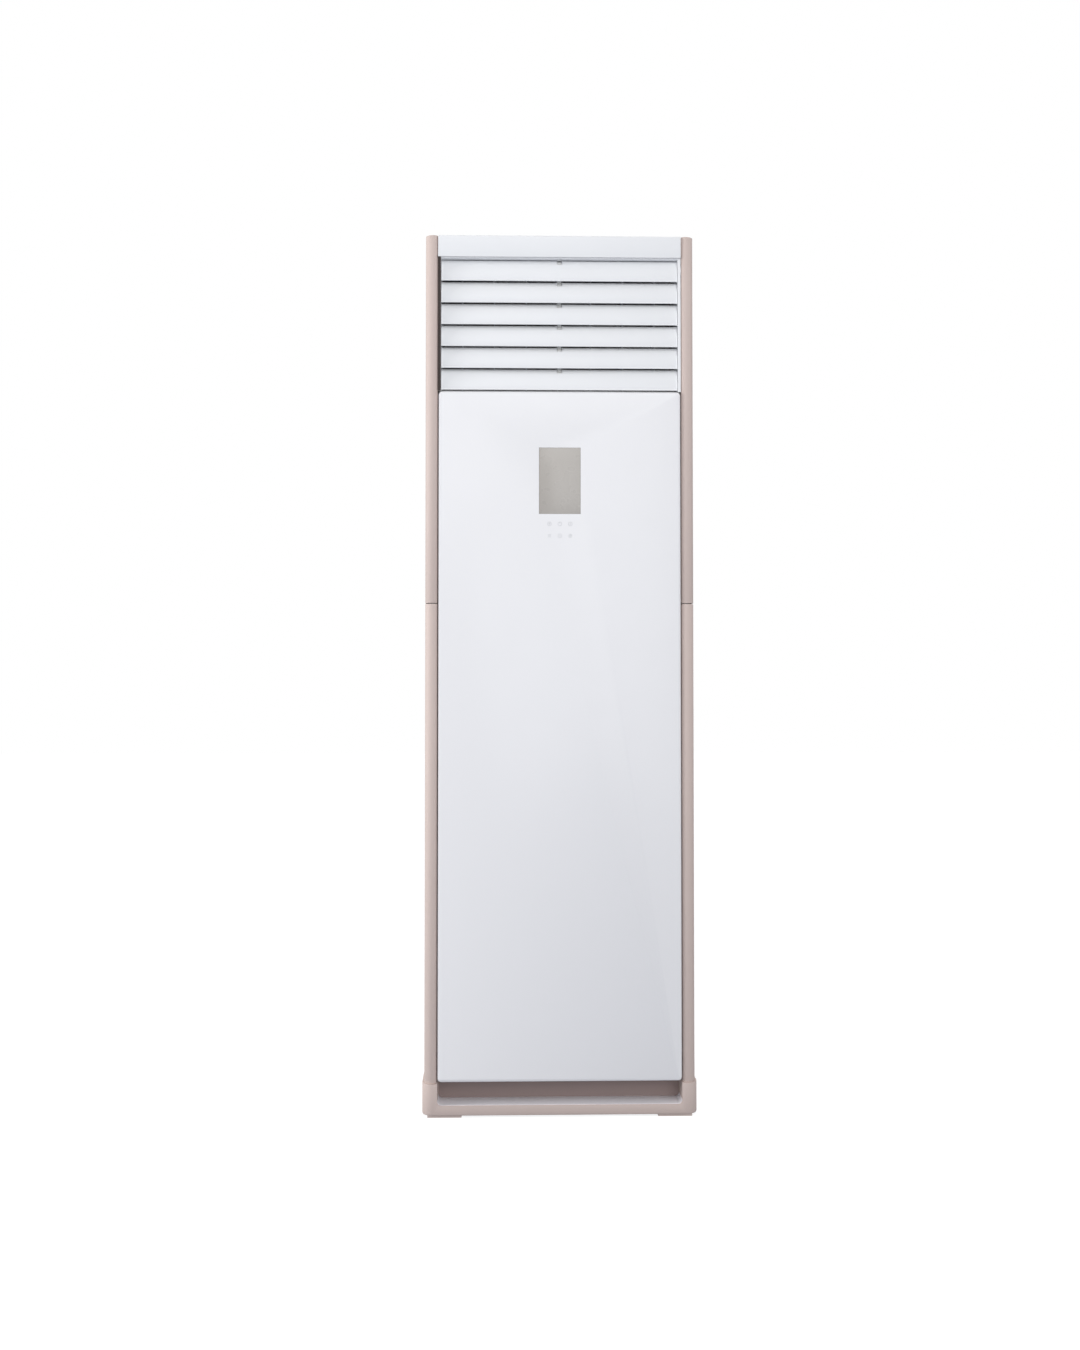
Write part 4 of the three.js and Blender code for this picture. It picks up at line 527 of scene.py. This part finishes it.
# ---------------------------------------------------------------- screws
def screw_head(bm, at, turn, radius):
    """A low domed head."""
    matrix = Matrix.Translation(at) @ turn
    profile = [(radius, 0), (radius, 0.22 * radius), (0.8 * radius, 0.5 * radius), (0, 0.62 * radius)]
    turned(bm, profile, matrix, 20)


def screw_cross(bm, at, turn, radius):
    """The dark cross of its slot, a little aslant."""
    matrix = Matrix.Translation(at) @ turn
    low = Vector((-0.5, -0.1, 0.4)) * radius
    high = Vector((0.5, 0.1, 0.66)) * radius
    for spin in (0.3, 0.3 + math.pi / 2):
        slab(bm, low, high, matrix @ Matrix.Rotation(spin, 4, "Z"))


def screws(name, places):
    """Screws whose heads face out of the back."""

    def heads(bm):
        for at in places:
            screw_head(bm, at, OUT_BACK, SCREW_RADIUS)

    def crosses(bm):
        for at in places:
            screw_cross(bm, at, OUT_BACK, SCREW_RADIUS)

    piece(name + "_heads", heads, SCREW, "cabinet")
    piece(name + "_crosses", crosses, RUBBER, "cabinet")


def rear_panel_screws():
    """Places down the rear panel's two sides and along its two ends."""
    low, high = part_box("rear_panel")
    side = high.x - SIDE_SCREW_IN
    places = []
    for x in (-side, side):
        for z in evenly(low.z + SIDE_SCREW_END, high.z - SIDE_SCREW_END, SIDE_SCREWS):
            places.append(Vector((x, BACK_FACE, z)))
    for x in evenly(-END_SCREW_REACH, END_SCREW_REACH, END_SCREWS):
        for z in (low.z + END_SCREW_IN, high.z - END_SCREW_IN):
            places.append(Vector((x, BACK_FACE, z)))
    return places


def bracket_screws():
    """Places of the two screws sunk in the tilt bracket."""
    low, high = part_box("tilt_bracket")
    y = high.y - BRACKET_SCREW_SUNK
    return [Vector((x, y, (low.z + high.z) / 2)) for x in (-BRACKET_SCREW_X, BRACKET_SCREW_X)]


# ---------------------------------------------------------------- front panel
def sign_ring(bm, at, outer):
    """A flat printed ring."""
    inner = outer - SIGN_LINE
    profile = [(inner, 0), (outer, 0), (outer, SIGN_THICK), (inner, SIGN_THICK), (inner, 0)]
    turned(bm, profile, Matrix.Translation(at) @ OUT_FRONT, 28)


def sign_stroke(bm, at, length, lean):
    """A short printed bar, leaning by so many degrees."""
    bar = Matrix.Translation(at) @ OUT_FRONT @ Matrix.Rotation(math.radians(lean), 4, "Z")
    slab(bm, (-length / 2, -SIGN_LINE / 2, 0), (length / 2, SIGN_LINE / 2, SIGN_THICK), bar)


def touch_icons():
    """Six faint signs in two rows of three under the window; the one at the lower left has no ring."""
    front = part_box("front_panel")[0].y
    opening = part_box("display_window")[0].z + WINDOW_FLANGE

    def build(bm):
        for row, drop in enumerate(SIGN_ROWS):
            for column, x in enumerate(SIGN_COLUMNS):
                at = Vector((x, front, opening - drop))
                if (row, column) != (1, 0):
                    large = row == 0 or column == 1
                    sign_ring(bm, at, SIGN_RADIUS if large else SIGN_RADIUS_SMALL)
                for length, lean, lift in SIGN_STROKES[row][column]:
                    sign_stroke(bm, at + Vector((0, 0, lift * MM)), length * MM, lean)

    piece("touch_icons", build, ICON, "cabinet")


def window_trim():
    """A shallow dark joint round the display window, just behind the panel's face."""
    low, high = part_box("display_window")
    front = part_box("front_panel")[0].y
    near, far = front + 0.05 * MM, front + 0.6 * MM
    half = high.x - WINDOW_FLANGE
    bottom, top = low.z + WINDOW_FLANGE, high.z - WINDOW_FLANGE
    wide = WINDOW_JOINT / 2

    def build(bm):
        for x in (-half, half):
            slab(bm, (x - wide, near, bottom), (x + wide, far, top))
        for z in (bottom, top):
            slab(bm, (-half - wide, near, z - wide), (half + wide, far, z + wide))

    piece("window_trim", build, BEZEL, "cabinet")


# ---------------------------------------------------------------- outlet
def louvre_trim(name, body, pivot):
    """A louvre's rolled lower lip and the discs that close its two ends."""
    matrix = Matrix.Translation(pivot) @ Matrix.Rotation(-LOUVRE_TILT, 4, "X")
    half = LOUVRE_HALF_CHORD
    reach = half + LIP_DROP
    lip = [
        (-LIP_HALF, LIP_OVERLAP - half),
        (LIP_HALF, LIP_OVERLAP - half),
        (LIP_HALF, LIP_ROUNDING - reach),
        (0.5 * LIP_HALF, -reach),
        (-0.5 * LIP_HALF, -reach),
        (-LIP_HALF, LIP_ROUNDING - reach),
    ]
    edge = LIP_HALF + DISC_OVER
    front, back = DISC_BULGES
    disc = curve((-edge, half), (front - DISC_OVER, 0), (-edge, -half))
    disc += [(-edge, -half), (-0.5 * LIP_HALF, -reach - DISC_OVER), (0.5 * LIP_HALF, -reach - DISC_OVER)]
    disc += curve((edge, -half), (back + DISC_OVER, 0), (edge, half))
    disc.append((edge, half))

    def place(y, z, x):
        return matrix @ Vector((x, y, z))

    def build(bm):
        prism(bm, lip, -LOUVRE_HALF, LOUVRE_HALF, place)
        for side in (-1, 1):
            prism(bm, disc, side * (LOUVRE_HALF - DISC_OVERLAP), side * (DUCT_INNER - DISC_GAP), place)

    piece(name, build, WHITE, body)


def louvre_trims():
    """One for each joint of a louvre, on that joint's body."""
    for joint in frame["joints"]:
        if joint["name"].startswith("louvre_turn_"):
            name = joint["name"].replace("turn", "trim")
            louvre_trim(name, joint["child"], Vector(joint["pos_m"]))


def outlet_shade_strip():
    """A near-black strip between the left column and the duct, on the left side only: painted shade of the
    shadowed gap there.
    """
    low = (-DUCT_OUTER, DUCT_FRONT - SHADE_STRIP_PROUD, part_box("outlet_duct")[0].z)
    high = (-DUCT_INNER - 0.1 * MM, DUCT_FRONT + 0.05 * MM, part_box("top_cover")[0].z)

    def build(bm):
        slab(bm, low, high)

    piece("outlet_shade_strip", build, LEFT_GAP_SHADE, "cabinet")


# ---------------------------------------------------------------- toe recess
def toe_line(inset):
    """The recess's rounded lower edge, from the left to the right, at a distance inside it."""
    radius = TOE_CORNER - inset
    points = []
    for side, start in ((-1, 180), (1, 270)):
        x = side * (TOE_HALF - TOE_CORNER)
        z = TOE_LEDGE + TOE_CORNER
        for degrees in evenly(start, start + 90, 9):
            angle = math.radians(degrees)
            points.append((x + radius * math.cos(angle), z + radius * math.sin(angle)))
    return points


def toe_light_strip():
    """A pale strip over the ledge, turned up at its ends: painted light on the ledge's lit top and its
    corner fillets.
    """
    outline = toe_line(0.05 * MM) + list(reversed(toe_line(LIGHT_STRIP_THICK)))
    count = len(outline)

    def build(bm):
        ends = [[bm.verts.new((x, y, z)) for x, z in outline] for y in (LIGHT_STRIP_FRONT, TOE_BACK - 0.1 * MM)]
        for i in range(count):
            j = (i + 1) % count
            bm.faces.new((ends[0][i], ends[1][i], ends[1][j], ends[0][j]))
        for i in range(count // 2 - 1):
            for end in ends:
                bm.faces.new((end[i], end[i + 1], end[count - 2 - i], end[count - 1 - i]))

    piece("toe_light_strip", build, LEDGE_PAINTED_LIGHT, "cabinet")


def toe_shade_plate():
    """A darker plate over the recess's back wall, standing on the strip: painted shade of the recess's
    shadow.
    """
    outline = toe_line(LIGHT_STRIP_THICK + 0.1 * MM)
    top = TOE_TOP - 0.4 * MM
    outline += [(outline[-1][0], top), (outline[0][0], top)]
    back = TOE_BACK - 0.1 * MM

    def build(bm):
        prism(bm, outline, back - SHADE_PLATE_THICK, back, lambda x, z, y: (x, y, z))

    piece("toe_shade_plate", build, RECESS_SHADE, "cabinet")


# ---------------------------------------------------------------- rear panel
def pipe_grommet():
    """The rubber edge of the rear panel's pipe hole: (radius from the hole's edge, height over the face)."""
    x, z, radius = PIPE_HOLE
    matrix = Matrix.Translation((x, BACK_FACE, z)) @ OUT_BACK
    lip = [(-3, 0.8), (-2.2, 1.8), (2.6, 1.8), (3.4, 0.2), (-0.2, 0.1), (-0.2, -1.6), (-3, -1.6), (-3, 0.8)]

    def build(bm):
        turned(bm, [(radius + out * MM, up * MM) for out, up in lip], matrix, 48)

    piece("pipe_grommet", build, RUBBER, "cabinet")


# ---------------------------------------------------------------- camera, light, floor
def build_camera():
    data = bpy.data.cameras.new("camera")
    data.sensor_fit = "VERTICAL"
    data.sensor_height = SENSOR
    data.lens = FOCAL * SENSOR / PICTURE_HEIGHT
    data.shift_y = -OBJECT_DROP / PICTURE_HEIGHT
    data.clip_end = 50
    camera = bpy.data.objects.new("camera", data)
    yaw = math.radians(CAMERA_YAW)
    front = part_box("base_pedestal")[0].y
    across = CAMERA_AIM_X - CAMERA_DISTANCE * math.tan(yaw)
    camera.location = (across, front - CAMERA_DISTANCE, CAMERA_HEIGHT)
    camera.rotation_euler = (math.pi / 2 + math.radians(CAMERA_PITCH), 0, -yaw)
    bpy.context.scene.collection.objects.link(camera)
    bpy.context.scene.camera = camera


def area_light(name, at, aim, size, power):
    data = bpy.data.lights.new(name, "AREA")
    data.shape = "RECTANGLE"
    data.size, data.size_y = size
    data.energy = power
    lamp = bpy.data.objects.new(name, data)
    lamp.location = at
    lamp.rotation_euler = (Vector(aim) - Vector(at)).to_track_quat("-Z", "Y").to_euler()
    bpy.context.scene.collection.objects.link(lamp)


def seen_rays(tree):
    """1 for the rays that show the backdrop: to the camera, in gloss and through glass."""
    paths = tree.nodes.new("ShaderNodeLightPath")
    total = paths.outputs["Is Camera Ray"]
    for other in ("Is Glossy Ray", "Is Transmission Ray"):
        most = add(tree, "ShaderNodeMath", operation="MAXIMUM")
        tree.links.new(total, most.inputs[0])
        tree.links.new(paths.outputs[other], most.inputs[1])
        total = most.outputs["Value"]
    return total


def lit_or_seen(tree, output, lit, seen):
    """One shader lights the object, and the other shows where the backdrop is seen."""
    mix = tree.nodes.new("ShaderNodeMixShader")
    tree.links.new(seen_rays(tree), mix.inputs["Fac"])
    tree.links.new(lit.outputs[0], mix.inputs[1])
    tree.links.new(seen.outputs[0], mix.inputs[2])
    tree.links.new(mix.outputs[0], output.inputs["Surface"])


def build_world():
    world = bpy.data.worlds.new("studio")
    world.use_nodes = True
    tree = world.node_tree
    tree.nodes.clear()
    output = tree.nodes.new("ShaderNodeOutputWorld")
    light = add(tree, "ShaderNodeBackground", color=AMBIENT)
    seen = add(tree, "ShaderNodeBackground", color=BACKDROP)
    lit_or_seen(tree, output, light, seen)
    bpy.context.scene.world = world


def floor_material():
    """Pale floor: seen almost white, with a soft shadow; it lights the object as light grey."""
    made = bpy.data.materials.new("studio_floor")
    made.use_nodes = True
    tree = made.node_tree
    tree.nodes.clear()
    output = tree.nodes.new("ShaderNodeOutputMaterial")
    lit = add(tree, "ShaderNodeBsdfDiffuse", color=FLOOR_LIT)
    shaded = add(tree, "ShaderNodeBsdfDiffuse", color=FLOOR_SHADED)
    glow = add(tree, "ShaderNodeEmission", color=FLOOR_GLOW)
    shown = tree.nodes.new("ShaderNodeAddShader")
    tree.links.new(shaded.outputs[0], shown.inputs[0])
    tree.links.new(glow.outputs[0], shown.inputs[1])
    lit_or_seen(tree, output, lit, shown)
    return made


def build_floor():
    def build(bm):
        bmesh.ops.create_grid(bm, x_segments=1, y_segments=1, size=FLOOR_REACH)

    mesh = new_mesh("floor", build)
    mesh.materials.append(floor_material())
    floor = bpy.data.objects.new("floor", mesh)
    bpy.context.scene.collection.objects.link(floor)


# ---------------------------------------------------------------- scene
build_camera()
build_world()
build_floor()
for soft_box in SOFT_BOXES:
    area_light(*soft_box)
bpy.context.scene.view_settings.view_transform = "Standard"

dress_nodes()
screws("rear_screw", rear_panel_screws())
screws("bracket_screw", bracket_screws())
touch_icons()
window_trim()
pipe_grommet()
louvre_trims()
outlet_shade_strip()
toe_light_strip()
toe_shade_plate()
